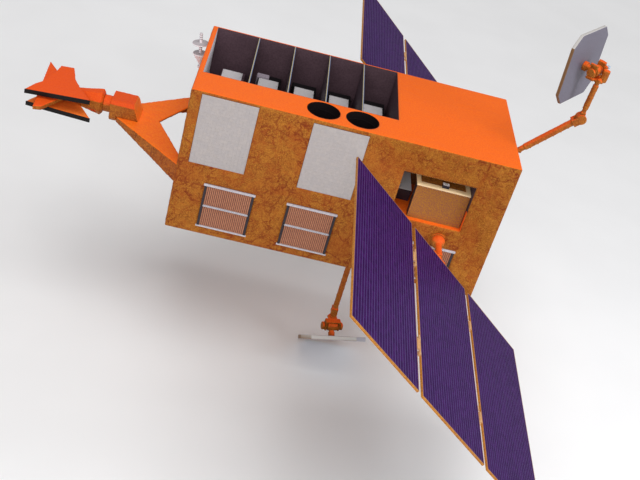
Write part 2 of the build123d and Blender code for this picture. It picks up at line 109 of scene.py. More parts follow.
def gnoise(p, scale, seed=0):
    """Smooth noise of about -0.7 to 0.7 at points p, with features of that scale in metres."""
    if seed not in TABLES:
        TABLES[seed] = lattice(seed)
    perm, grad = TABLES[seed]
    q = np.asarray(p, float) / scale
    i = np.floor(q).astype(int)
    f = q - i
    w = f * f * f * (f * (f * 6 - 15) + 10)
    i &= 255
    total = 0
    for dx in (0, 1):
        for dy in (0, 1):
            for dz in (0, 1):
                h = perm[(perm[(perm[(i[:, 0] + dx) & 255] + i[:, 1] + dy) & 255] + i[:, 2] + dz) & 255]
                d = (grad[h] * (f - np.array([dx, dy, dz]))).sum(1)
                k = np.where(dx, w[:, 0], 1 - w[:, 0]) * np.where(dy, w[:, 1], 1 - w[:, 1]) * np.where(dz, w[:, 2], 1 - w[:, 2])
                total = total + d * k
    return total


def smooth(a, b, x):
    t = np.clip((x - a) / (b - a), 0, 1)
    return t * t * (3 - 2 * t)


def creases(p, size, seed):
    """How near each point is to a fold line between irregular patches (0 to 1), and how high its patch stands."""
    rng = np.random.default_rng(seed)
    warp = np.stack([gnoise(p, size * 0.8, seed + k) for k in (11, 12, 13)], 1) * size * 0.55
    q = p + warp
    lo, hi = q.min(0) - size, q.max(0) + size
    counts = np.maximum(1, np.ceil((hi - lo) / size).astype(int))
    cells = np.stack(np.meshgrid(*[np.arange(c) for c in counts], indexing="ij"), -1).reshape(-1, 3)
    seeds = lo + (cells + rng.random(cells.shape)) * size
    tree = kdtree.KDTree(len(seeds))
    for k, s in enumerate(seeds):
        tree.insert(s, k)
    tree.balance()
    level = rng.random(len(seeds))
    near, lift = np.zeros(len(q)), np.zeros(len(q))
    for k, s in enumerate(q):
        (_, ia, da), (_, ib, db) = tree.find_n(s, 2)
        near[k] = (db - da) / size
        lift[k] = level[ia]
    return near, lift


def link(obj):
    scene.collection.objects.link(obj)
    return obj


def make(name, verts, faces, material, smooth_shade=True):
    mesh = bpy.data.meshes.new(name)
    mesh.from_pydata([tuple(map(float, v)) for v in verts], [], [tuple(map(int, f)) for f in faces])
    mesh.materials.append(material)
    mesh.polygons.foreach_set("use_smooth", [smooth_shade] * len(mesh.polygons))
    mesh.update()
    return link(bpy.data.objects.new(name, mesh))


def from_bm(name, bm, material, smooth_shade=False):
    mesh = bpy.data.meshes.new(name)
    bmesh.ops.recalc_face_normals(bm, faces=bm.faces)
    bm.to_mesh(mesh)
    bm.free()
    mesh.materials.append(material)
    mesh.polygons.foreach_set("use_smooth", [smooth_shade] * len(mesh.polygons))
    mesh.update()
    return link(bpy.data.objects.new(name, mesh))


def attribute(obj, name, values):
    a = obj.data.attributes.new(name, "FLOAT", "POINT")
    a.data.foreach_set("value", np.asarray(values, np.float32))


def ease(obj, degrees=35):
    """Smooth shading that keeps edges sharper than this."""
    obj.data.polygons.foreach_set("use_smooth", [True] * len(obj.data.polygons))
    obj.data.set_sharp_from_angle(angle=math.radians(degrees))


# ------------------------------------------------------------------ materials
def new_material(name):
    m = bpy.data.materials.new(name)
    m.use_nodes = True
    tree = m.node_tree
    tree.nodes.clear()
    out = tree.nodes.new("ShaderNodeOutputMaterial")
    shader = tree.nodes.new("ShaderNodeBsdfPrincipled")
    tree.links.new(shader.outputs[0], out.inputs[0])
    return m, tree, shader


def node(tree, kind, **settings):
    n = tree.nodes.new(kind)
    for k, v in settings.items():
        if hasattr(n, k):
            setattr(n, k, v)
        else:
            n.inputs[k].default_value = v
    return n


def mix_colour(tree, factor, a, b, kind="MIX"):
    n = tree.nodes.new("ShaderNodeMix")
    n.data_type, n.blend_type = "RGBA", kind
    for socket, value in ((n.inputs[0], factor), (n.inputs[6], a), (n.inputs[7], b)):
        if isinstance(value, (int, float)):
            socket.default_value = value
        elif isinstance(value, tuple):
            socket.default_value = (*value[:3], 1)
        else:
            tree.links.new(value, socket)
    return n.outputs[2]


def math_node(tree, op, a, b=0.0, c=0.0):
    n = tree.nodes.new("ShaderNodeMath")
    n.operation = op
    for socket, value in zip(n.inputs, (a, b, c)):
        if isinstance(value, (int, float)):
            socket.default_value = value
        else:
            tree.links.new(value, socket)
    return n.outputs[0]


def ramp(tree, value, a, b, lo=0.0, hi=1.0, kind="SMOOTHSTEP"):
    n = tree.nodes.new("ShaderNodeMapRange")
    n.interpolation_type = kind
    tree.links.new(value, n.inputs[0])
    for k, v in enumerate((a, b, lo, hi), 1):
        n.inputs[k].default_value = v
    return n.outputs[0]


def coords(tree, scale=(1, 1, 1)):
    tc = tree.nodes.new("ShaderNodeTexCoord")
    if scale == (1, 1, 1):
        return tc.outputs["Object"]
    mp = tree.nodes.new("ShaderNodeMapping")
    mp.inputs["Scale"].default_value = scale
    tree.links.new(tc.outputs["Object"], mp.inputs[0])
    return mp.outputs[0]


def facing(tree, direction):
    """How far a surface faces that direction of the object's own axes."""
    tc = tree.nodes.new("ShaderNodeTexCoord")
    d = tree.nodes.new("ShaderNodeVectorMath")
    d.operation = "DOT_PRODUCT"
    tree.links.new(tc.outputs["Normal"], d.inputs[0])
    d.inputs[1].default_value = direction
    return d.outputs["Value"]


def noise_node(tree, scale, detail=3.0, rough=0.55, vector=None, distort=0.0):
    n = tree.nodes.new("ShaderNodeTexNoise")
    n.inputs["Scale"].default_value = scale
    n.inputs["Detail"].default_value = detail
    n.inputs["Roughness"].default_value = rough
    n.inputs["Distortion"].default_value = distort
    tree.links.new(vector or coords(tree), n.inputs["Vector"])
    return n.outputs["Fac"]


def bump(tree, shader, height, strength, distance):
    b = tree.nodes.new("ShaderNodeBump")
    b.inputs["Strength"].default_value = strength
    b.inputs["Distance"].default_value = distance
    tree.links.new(height, b.inputs["Height"])
    tree.links.new(b.outputs[0], shader.inputs["Normal"])


def set_plain(shader, rough=0.5, metal=0.0, coat=0.0, coat_rough=0.2, spec=0.5):
    shader.inputs["Roughness"].default_value = rough
    shader.inputs["Metallic"].default_value = metal
    shader.inputs["Coat Weight"].default_value = coat
    shader.inputs["Coat Roughness"].default_value = coat_rough
    shader.inputs["Specular IOR Level"].default_value = spec


# The first three colours are one orange film: its up-facing surfaces painted as sunlit, its sides painted in golden
# shade with a darker mottle.
SUNLIT_ORANGE_TOP, SHADED_GOLD_SIDE, SHADED_GOLD_SIDE_DARK, CREASE_SHADE, RUST = lin(250, 108, 28), lin(192, 126, 44), lin(134, 74, 24), lin(124, 44, 16), lin(166, 78, 24)


def veins(t, scale, width, seed_shift, detail=4.0, rough=0.52, distort=0.5):
    """Thin branching lines: where a distorted noise passes its middle value."""
    tc = t.nodes.new("ShaderNodeTexCoord")
    mp = t.nodes.new("ShaderNodeMapping")
    mp.inputs["Location"].default_value = (seed_shift, -seed_shift * 0.7, seed_shift * 1.3)
    t.links.new(tc.outputs["Object"], mp.inputs[0])
    n = noise_node(t, scale, detail, rough, mp.outputs[0], distort)
    return ramp(t, math_node(t, "ABSOLUTE", math_node(t, "SUBTRACT", n, 0.5)), 0.0, width, 1.0, 0.0)


def blanket_material(name, top=SUNLIT_ORANGE_TOP, side=SHADED_GOLD_SIDE, side_dark=SHADED_GOLD_SIDE_DARK, fine=64.0, creased=False, low=0.30, high=0.75, lines=1.0, vein=2.4, aft=None):
    """A wrapped film blanket of one orange film: painted sunlit orange where it faces up, painted golden shade
    elsewhere, mottled, with painted shade darkening its folds.
    """
    m, t, s = new_material(name)
    mottle = noise_node(t, fine, 5.0, 0.76)
    grain = noise_node(t, fine * 2.2, 2.0, 0.6)
    broad = noise_node(t, 3.0, 4.0, 0.6, distort=0.6)
    # The side colour is the film in painted shade, mottled at random.
    shaded_side_colour = mix_colour(t, ramp(t, mottle, 0.41, 0.59), side_dark, side)
    shaded_side_colour = mix_colour(t, ramp(t, noise_node(t, 9.0, 3.0, 0.6), 0.40, 0.62, 0.0, 0.45), shaded_side_colour, tuple(c * 1.06 for c in side))
    shaded_side_colour = mix_colour(t, ramp(t, broad, 0.44, 0.62, 0.0, 0.40), shaded_side_colour, RUST)
    shaded_side_colour = mix_colour(t, ramp(t, grain, 0.48, 0.60, 0.0, 0.55 * lines), shaded_side_colour, lin(148, 62, 22))
    # The vein lines below darken the film along its creases: painted crease shade.
    gaps = ramp(t, noise_node(t, vein * 1.5, 3.0, 0.6), 0.42, 0.58)
    broken = ramp(t, noise_node(t, vein * 9.0, 3.0, 0.6), 0.34, 0.54, 0.25, 1.0)
    thick = math_node(t, "MULTIPLY", veins(t, vein, 0.019, 3.1), ramp(t, noise_node(t, vein * 0.8, 2.0, 0.5), 0.36, 0.54, 0.20, 1.0))
    other = math_node(t, "MULTIPLY", veins(t, vein * 1.45, 0.017, 21.4), gaps)
    thin = math_node(t, "MULTIPLY", veins(t, vein * 4.0, 0.040, 9.7), ramp(t, noise_node(t, vein * 2.1, 3.0, 0.6), 0.36, 0.52))
    main = math_node(t, "MULTIPLY", math_node(t, "MAXIMUM", thick, other), broken)
    shaded_side_colour = mix_colour(t, math_node(t, "MULTIPLY", thin, 0.50 * lines), shaded_side_colour, lin(154, 66, 24))
    shaded_side_colour = mix_colour(t, math_node(t, "MULTIPLY", main, 0.86 * lines), shaded_side_colour, CREASE_SHADE)
    # The top colour is the film painted as sunlit, mottled at random.
    sunlit_top_colour = mix_colour(t, ramp(t, mottle, 0.36, 0.64), (top[0] * 0.95, top[1] * 0.78, top[2] * 0.85), (min(1.0, top[0] * 1.03), top[1] * 1.26, top[2] * 1.25))
    # With creased, the fold attribute paints shade along the folds, on the sides and the tops alike.
    if creased:
        a = t.nodes.new("ShaderNodeAttribute")
        a.attribute_name = "fold"
        shaded_side_colour = mix_colour(t, ramp(t, a.outputs["Fac"], 0.15, 0.8, 0.0, 0.62), shaded_side_colour, CREASE_SHADE)
        sunlit_top_colour = mix_colour(t, ramp(t, a.outputs["Fac"], 0.2, 1.0, 0.0, 0.14), sunlit_top_colour, lin(228, 90, 24))
    # Up-facing surfaces take the painted sunlit orange, the rest the painted golden shade.
    up = ramp(t, facing(t, (0, 0, 1)), low, high)
    # aft paints the +X-facing faces lighter: painted light on faces that lie in shade.
    if aft:
        shaded_side_colour = mix_colour(t, ramp(t, facing(t, (1, 0, 0)), 0.5, 0.8), shaded_side_colour, aft)
        sunlit_top_colour = mix_colour(t, ramp(t, facing(t, (1, 0, 0)), 0.5, 0.8), sunlit_top_colour, aft)
    t.links.new(mix_colour(t, up, shaded_side_colour, sunlit_top_colour), s.inputs["Base Color"])
    t.links.new(ramp(t, mottle, 0.3, 0.7, 0.46, 0.60), s.inputs["Roughness"])
    s.inputs["Specular IOR Level"].default_value = 0.12
    bump(t, s, mottle, 0.30, 0.0025)
    return m


def speckled(name, base, dark, scale=60.0, rough=0.55, metal=0.0, amount=0.5, coat=0.0, spec=0.4, bumpy=0.12):
    """A painted or anodised surface with faint variation."""
    m, t, s = new_material(name)
    n = noise_node(t, scale, 4.0, 0.65)
    broad = noise_node(t, 4.5, 2.0, 0.5)
    c = mix_colour(t, ramp(t, n, 0.38, 0.66, 0.0, amount), base, dark)
    c = mix_colour(t, ramp(t, broad, 0.45, 0.75, 0.0, amount * 0.5), c, dark)
    t.links.new(c, s.inputs["Base Color"])
    set_plain(s, rough, metal, coat, 0.2, spec)
    t.links.new(ramp(t, n, 0.3, 0.7, rough - 0.06, rough + 0.06), s.inputs["Roughness"])
    if bumpy:
        bump(t, s, noise_node(t, scale * 2.2, 2.0, 0.5), bumpy, 0.0008)
    return m


def two_faced(name, direction, top, other, a=0.6, b=0.9, rough=0.5, spec=0.4, amount=0.25):
    """One colour where the surface faces a direction and another elsewhere, both with faint speckle."""
    m, t, s = new_material(name)
    n = noise_node(t, 70.0, 3.0, 0.6)
    up = mix_colour(t, ramp(t, n, 0.4, 0.65, 0.0, amount), top, tuple(c * 0.8 for c in top))
    side = mix_colour(t, ramp(t, n, 0.4, 0.65, 0.0, amount), other, tuple(c * 0.75 for c in other))
    t.links.new(mix_colour(t, ramp(t, facing(t, direction), a, b), side, up), s.inputs["Base Color"])
    set_plain(s, rough, 0.0, 0.0, 0.2, spec)
    bump(t, s, noise_node(t, 120.0, 2.0, 0.5), 0.1, 0.0006)
    return m


def grid_lines(t, sizes, width, offset=(0, 0, 0)):
    """1 on thin lines spaced by sizes (0 for none) in the object's axes, and 0 between them."""
    sep = t.nodes.new("ShaderNodeSeparateXYZ")
    t.links.new(coords(t), sep.inputs[0])
    total = None
    for k, size in enumerate(sizes):
        if not size:
            continue
        u = math_node(t, "FRACT", math_node(t, "MULTIPLY_ADD", sep.outputs[k], 1.0 / size, offset[k] + 50.0))
        d = math_node(t, "ABSOLUTE", math_node(t, "SUBTRACT", u, 0.5))
        line = ramp(t, d, 0.5 - width / size, 0.5 - width / size * 0.6, 0.0, 1.0)
        total = line if total is None else math_node(t, "MAXIMUM", total, line)
    return total


M = {}
# Every blanket material below paints one orange film: sunlit orange where it faces up, golden shade elsewhere.
M["blanket"] = blanket_material("blanket", creased=True)
M["wrap"] = blanket_material("wrap", top=lin(232, 92, 30), side=lin(186, 116, 44), side_dark=lin(148, 84, 32), fine=60.0, low=0.05, high=0.75, lines=0.7, vein=9.0)
M["monitor"] = blanket_material("monitor_wrap", top=lin(240, 86, 24), side=lin(190, 118, 42), side_dark=lin(128, 66, 24), fine=60.0, low=0.02, high=0.6, lines=0.8, vein=6.0)
# The drive's aft colour is painted light on its +X faces, which lie in shade.
M["monitor_drive"] = blanket_material("monitor_drive_wrap", top=lin(232, 82, 24), side=lin(190, 118, 42), side_dark=lin(128, 66, 24), fine=60.0, low=0.02, high=0.6, lines=0.8, vein=6.0, aft=lin(255, 138, 48))
# The lower camera's top is brightened as painted light, against the shadow the camera above casts on it.
M["monitor_low"] = blanket_material("monitor_low_wrap", top=lin(255, 126, 48), side=lin(190, 118, 42), side_dark=lin(128, 66, 24), fine=60.0, low=0.02, high=0.6, lines=0.8, vein=6.0)
M["bracket"] = blanket_material("bracket_wrap", top=lin(255, 116, 30), side=lin(196, 118, 44), side_dark=lin(104, 46, 18), fine=54.0, low=0.02, high=0.6, lines=0.9, vein=4.0)
M["gimbal"] = blanket_material("gimbal_wrap", top=lin(236, 98, 32), side=lin(182, 122, 44), side_dark=lin(138, 74, 26), fine=60.0, low=0.05, high=0.8, lines=0.8, vein=9.0)
M["radiator"] = None
m, t, s = new_material("radiator")
lines = grid_lines(t, (0.0405, 0, 0.0405), 0.0016)
tone = noise_node(t, 38.0, 3.0, 0.7)
c = mix_colour(t, ramp(t, tone, 0.38, 0.62, 0.0, 0.5), lin(183, 174, 171), lin(171, 161, 159))
t.links.new(mix_colour(t, math_node(t, "MULTIPLY", lines, 0.45), c, lin(140, 132, 136)), s.inputs["Base Color"])
set_plain(s, 0.32, 0.0, 0.25, 0.12, 0.5)
bump(t, s, math_node(t, "MULTIPLY", lines, -1.0), 0.3, 0.0006)
M["radiator"] = m
M["silver"] = speckled("louvre_frame_silver", lin(206, 202, 210), lin(170, 164, 174), 40.0, 0.42, 0.1, 0.4)
M["louvre_side"] = speckled("louvre_side_black", lin(54, 44, 50), lin(34, 28, 34), 60.0, 0.5, 0.1, 0.5)
M["blade"] = speckled("louvre_blade", lin(192, 128, 96), lin(158, 94, 70), 34.0, 0.42, 0.0, 0.5)
M["louvre_back"] = speckled("louvre_back", lin(84, 48, 44), lin(62, 36, 36), 50.0, 0.6, 0.0, 0.4)
# The dark purple-grey lining is painted shade: the bay and the pocket's right wall are dark because they lie in shadow.
M["lining"] = speckled("bay_lining", lin(92, 71, 79), lin(74, 55, 63), 46.0, 0.62, 0.0, 0.6, spec=0.15)
# The left bay wall: painted sunlit orange on its up-facing rim, and near-white sides made brighter as painted light.
M["wall_light"] = two_faced("left_wall", (0, 0, 1), lin(240, 106, 34), lin(252, 248, 255), 0.7, 0.9, amount=0.12)
# The far bay wall: painted sunlit orange where it faces up and painted golden shade elsewhere, like the blankets.
M["far_wall"] = two_faced("far_wall", (0, 0, 1), lin(236, 96, 32), lin(190, 120, 48), 0.7, 0.9)
# Divider tops are light; their sides take the dark purple-grey of the bay's painted shade.
M["divider"] = two_faced("divider", (0, 0, 1), lin(206, 204, 196), lin(86, 68, 78), 0.7, 0.9, 0.55)
M["white_box"] = speckled("white_box", lin(216, 212, 214), lin(196, 190, 194), 46.0, 0.5, 0.0, 0.4)
# Black standing for the shadow the white detector boxes cast: painted shadow.
M["painted_shadow_band"] = speckled("painted_shadow_band", lin(20, 16, 20), lin(12, 9, 12), 60.0, 0.6, 0.0, 0.5, spec=0.2)
# Near-black, painting the shade inside the deep bores.
M["bore"] = speckled("bore_shade_black", lin(24, 16, 18), lin(14, 9, 10), 60.0, 0.7, 0.0, 0.5, spec=0.15)
M["can"] = speckled("detector_can", lin(34, 27, 30), lin(20, 15, 18), 70.0, 0.45, 0.2, 0.5)
M["module"] = None
m, t, s = new_material("module_grid")
lines = grid_lines(t, (0.0125, 0.0125, 0), 0.0022)
tone = noise_node(t, 60.0, 3.0, 0.6)
c = mix_colour(t, ramp(t, tone, 0.38, 0.64, 0.0, 0.6), lin(66, 52, 64), lin(52, 40, 50))
t.links.new(mix_colour(t, math_node(t, "MULTIPLY", lines, 0.5), c, lin(86, 72, 84)), s.inputs["Base Color"])
set_plain(s, 0.5, 0.15, 0.0, 0.2, 0.3)
bump(t, s, lines, 0.5, 0.002)
M["module"] = m
M["edge_fold"] = speckled("edge_fold", lin(240, 104, 34), lin(214, 84, 26), 50.0, 0.55, 0.0, 0.4, spec=0.1)
m, t, s = new_material("pocket_box")
tone = noise_node(t, 74.0, 4.0, 0.7)
c = mix_colour(t, ramp(t, tone, 0.42, 0.60, 0.0, 0.85), lin(174, 116, 44), lin(138, 80, 68))
other = mix_colour(t, ramp(t, noise_node(t, 34.0, 4.0, 0.7), 0.38, 0.64), lin(170, 108, 44), lin(122, 72, 34))
# Its -X faces are painted dark: painted shade on the side turned from the light.
other = mix_colour(t, ramp(t, facing(t, (-1, 0, 0)), 0.5, 0.8), other, lin(66, 46, 48))
t.links.new(mix_colour(t, ramp(t, facing(t, (0, -1, 0)), 0.5, 0.8), other, c), s.inputs["Base Color"])
set_plain(s, 0.6, 0.0, 0.0, 0.2, 0.12)
bump(t, s, noise_node(t, 150.0, 2.0, 0.5), 0.12, 0.0008)
M["pocket_box"] = m
M["pocket_wall"] = speckled("pocket_wall", lin(150, 92, 48), lin(104, 62, 40), 40.0, 0.6, 0.0, 0.8, spec=0.15)
M["pocket_light"] = speckled("pocket_light", lin(240, 232, 218), lin(222, 212, 198), 40.0, 0.6, 0.0, 0.5, spec=0.15)
M["pocket_frame"] = speckled("pocket_frame", lin(255, 226, 180), lin(244, 204, 150), 50.0, 0.5, 0.0, 0.4)
# Sensor and tracker: near-white tops as painted light and near-black sides as painted shade, each of one grey unit.
M["sensor"] = two_faced("sensor", (0, 0, 1), lin(240, 240, 246), lin(44, 38, 48), 0.5, 0.8, 0.4)
M["tracker"] = two_faced("tracker", (0, 0, 1), lin(244, 246, 252), lin(48, 38, 46), 0.5, 0.8, 0.4)
M["ring"] = speckled("ring_metal", lin(200, 202, 208), lin(168, 170, 178), 30.0, 0.30, 0.85, 0.4)
M["steel"] = speckled("fastener_steel", lin(176, 178, 184), lin(140, 142, 150), 90.0, 0.32, 0.85, 0.3)
M["mask"] = speckled("mask_black", lin(20, 14, 14), lin(12, 8, 9), 70.0, 0.5, 0.0, 0.4, spec=0.2)
M["antenna"] = two_faced("antenna_paint", (0, 0, 1), lin(190, 182, 186), lin(255, 248, 254), 0.5, 0.9, spec=0.3, amount=0.12)
M["drive"] = speckled("drive_metal", lin(196, 150, 100), lin(160, 110, 66), 50.0, 0.36, 0.4, 0.4)
M["panel_frame"] = speckled("panel_frame", lin(194, 132, 50), lin(162, 102, 38), 60.0, 0.5, 0.0, 0.5)
M["hinge"] = speckled("hinge_cream", lin(210, 164, 112), lin(182, 130, 84), 60.0, 0.5, 0.0, 0.5)


def reflector_material(name, n, front, back):
    m, t, s = new_material(name)
    tone = noise_node(t, 60.0, 3.0, 0.6)
    # The rim is painted: brownish painted shade on its downward and sideways faces, lighter painted light on its upward
    # and +X faces.
    rim = mix_colour(t, ramp(t, facing(t, (0, 0, 1)), 0.1, 0.6), lin(130, 96, 62), lin(198, 194, 190))
    rim = mix_colour(t, ramp(t, facing(t, (1, 0, 0)), 0.2, 0.6), rim, lin(178, 176, 186))
    c = mix_colour(t, ramp(t, facing(t, n), 0.6, 0.9), rim, mix_colour(t, ramp(t, tone, 0.4, 0.62, 0.0, 0.5), front, tuple(v * 0.86 for v in front)))
    c = mix_colour(t, ramp(t, facing(t, n), -0.6, -0.9), c, mix_colour(t, ramp(t, tone, 0.4, 0.62, 0.0, 0.5), back, tuple(v * 0.84 for v in back)))
    t.links.new(c, s.inputs["Base Color"])
    set_plain(s, 0.5, 0.0, 0.0, 0.2, 0.25)
    bump(t, s, noise_node(t, 150.0, 2.0, 0.5), 0.1, 0.0006)
    return m


M["reflector"] = reflector_material("reflector", (-0.796, 0.604, -0.045), lin(206, 204, 212), lin(112, 108, 121))
M["reflector_low"] = reflector_material("reflector_low", (0.1718, -0.6259, -0.7608), lin(196, 194, 204), lin(158, 155, 170))
M["reflector_edge"] = speckled("reflector_rim", lin(176, 130, 84), lin(132, 92, 60), 60.0, 0.45, 0.1, 0.5)
M["nub"] = speckled("sensor_nub", lin(186, 206, 226), lin(150, 180, 210), 80.0, 0.3, 0.1, 0.4)

m, t, s = new_material("panel")
up = facing(t, tuple(NN))
front_side = ramp(t, up, 0.8, 0.95)
back_side = ramp(t, up, -0.8, -0.95)
tone = noise_node(t, 60.0, 3.0, 0.6)
edge = mix_colour(t, ramp(t, tone, 0.38, 0.64), lin(200, 134, 48), lin(166, 102, 38))
c = mix_colour(t, front_side, edge, lin(86, 72, 128))
c = mix_colour(t, back_side, c, mix_colour(t, ramp(t, tone, 0.4, 0.66, 0.0, 0.6), lin(52, 46, 56), lin(36, 32, 40)))
t.links.new(c, s.inputs["Base Color"])
set_plain(s, 0.5, 0.0, 0.0, 0.2, 0.3)
bump(t, s, noise_node(t, 160.0, 2.0, 0.5), 0.1, 0.0005)
M["panel"] = m

m, t, s = new_material("solar_cell")
a = t.nodes.new("ShaderNodeAttribute")
a.attribute_name = "tint"
tone = noise_node(t, 30.0, 3.0, 0.7)
c = mix_colour(t, a.outputs["Fac"], lin(50, 17, 72), lin(66, 26, 92))
c = mix_colour(t, ramp(t, tone, 0.38, 0.66, 0.0, 0.5), c, lin(44, 15, 70))
t.links.new(c, s.inputs["Base Color"])
set_plain(s, 0.45, 0.0, 0.0, 0.08, 0.02)
bump(t, s, grid_lines(t, (0, 0.0104, 0), 0.0006), 0.15, 0.0003)
M["cell"] = m


# ------------------------------------------------------------------ general makers
def softened(name, nodes, width, material, segments=2, angle=28, replace=True):
    """A CAD node's own form with its sharp edges rounded."""
    bm = bmesh.new()
    for n in nodes:
        bm.from_mesh(NODES[n].data)
    bmesh.ops.remove_doubles(bm, verts=bm.verts, dist=2e-5)
    bmesh.ops.dissolve_limit(bm, angle_limit=math.radians(1.0), verts=bm.verts, edges=bm.edges, delimit=set())
    sharp = [e for e in bm.edges if len(e.link_faces) == 2 and e.calc_face_angle(0.0) > math.radians(angle)]
    if width:
        bmesh.ops.bevel(bm, geom=sharp, offset=width, segments=segments, profile=0.6, affect="EDGES", clamp_overlap=True)
    obj = from_bm(name, bm, material)
    ease(obj, 40)
    if replace:
        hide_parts(*nodes)
    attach(obj, BODY_OF[nodes[0]])
    return obj


def wrapped(name, nodes, voxel, material, amount=0.004, size=0.05, seed=1, lift=0.0, extra=None):
    """A CAD node's form under a close, crumpled blanket: remeshed, puffed and creased."""
    bm = bmesh.new()
    for n in nodes:
        bm.from_mesh(NODES[n].data)
    bmesh.ops.remove_doubles(bm, verts=bm.verts, dist=2e-5)
    if extra:
        extra(bm)
    mesh = bpy.data.meshes.new(name + "_form")
    bm.to_mesh(mesh)
    bm.free()
    temp = link(bpy.data.objects.new(name + "_form", mesh))
    mod = temp.modifiers.new("r", "REMESH")
    mod.mode, mod.voxel_size, mod.use_smooth_shade = "VOXEL", voxel, True
    rounding = temp.modifiers.new("s", "SMOOTH")
    rounding.factor, rounding.iterations = 0.5, 3
    bpy.context.view_layer.update()
    made = bpy.data.meshes.new_from_object(temp.evaluated_get(bpy.context.evaluated_depsgraph_get()))
    bpy.data.objects.remove(temp)
    count = len(made.vertices)
    co, no = np.zeros(count * 3), np.zeros(count * 3)
    made.vertices.foreach_get("co", co)
    made.vertices.foreach_get("normal", no)
    co, no = co.reshape(-1, 3), no.reshape(-1, 3)
    near, level = creases(co, size, seed)
    h = amount * (0.9 * smooth(0.0, 0.5, near) - 0.55 + 0.7 * gnoise(co, size * 0.6, seed + 3)) + lift
    co = co + no * h[:, None]
    made.vertices.foreach_set("co", co.ravel())
    made.materials.clear()
    made.materials.append(material)
    made.polygons.foreach_set("use_smooth", [True] * len(made.polygons))
    made.update()
    made.name = name
    obj = link(bpy.data.objects.new(name, made))
    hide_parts(*nodes)
    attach(obj, BODY_OF[nodes[0]])
    return obj


def block(bm, x0, x1, y0, y1, z0, z1, bevel=0.0, matrix=None):
    """A box with rounded edges, added to bm."""
    made = bmesh.ops.create_cube(bm, size=1.0)
    size = (abs(x1 - x0), abs(y1 - y0), abs(z1 - z0))
    centre = ((x0 + x1) / 2, (y0 + y1) / 2, (z0 + z1) / 2)
    verts = made["verts"]
    for v in verts:
        v.co = Vector((v.co.x * size[0] + centre[0], v.co.y * size[1] + centre[1], v.co.z * size[2] + centre[2]))
    if bevel:
        edges = list({e for v in verts for e in v.link_edges})
        out = bmesh.ops.bevel(bm, geom=edges, offset=bevel, segments=2, profile=0.6, affect="EDGES", clamp_overlap=True)
        verts = list({v for f in out["faces"] for v in f.verts} | {v for v in verts if v.is_valid})
    if matrix is not None:
        bmesh.ops.transform(bm, matrix=matrix, verts=verts)
    return verts


def disc(bm, centre, axis, r, h, sides=24, bevel=0.0, r2=None):
    """A short round bar standing on centre along axis, added to bm."""
    axis = Vector(axis).normalized()
    m = Matrix.Translation(Vector(centre) + axis * h / 2) @ axis.to_track_quat("Z", "Y").to_matrix().to_4x4()
    made = bmesh.ops.create_cone(bm, cap_ends=True, segments=sides, radius1=r, radius2=r if r2 is None else r2, depth=h, matrix=m)
    if bevel:
        edges = [e for e in {e for v in made["verts"] for e in v.link_edges} if len(e.link_faces) == 2 and e.calc_face_angle(0) > 0.6]
        bmesh.ops.bevel(bm, geom=edges, offset=bevel, segments=2, profile=0.6, affect="EDGES", clamp_overlap=True)
    return made


def finish_piece(obj, body, replaces=()):
    if replaces:
        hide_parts(*replaces)
    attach(obj, body)
    return obj


# ------------------------------------------------------------------ the body's blankets
OFF, ROUND = 0.006, 0.014
LOW = np.array([FRONT - OFF, -HALF - OFF, -HALF - OFF])
TOP = np.array([AFT + OFF, HALF + OFF, HALF + OFF])


def rounded(p, amount):
    """Points on the body's box, with the box's edges rounded; amount is their height over the box."""
    inner = np.clip(p, LOW + ROUND, TOP - ROUND)
    d = p - inner
    n = np.linalg.norm(d, axis=1)
    n[n < 1e-9] = 1
    return inner + d / n[:, None] * (ROUND + amount)[:, None]


def stretched(obj):
    """Returns the sheet unchanged."""
    return obj


def lines_between(a, b, step, marks):
    n = max(2, int(round((b - a) / step)) + 1)
    g = [x for x in np.linspace(a, b, n) if all(abs(x - m) > step * 0.45 for m in marks if a < m < b)]
    return np.array(sorted(set([a, b] + g + [m for m in marks if a < m < b])))


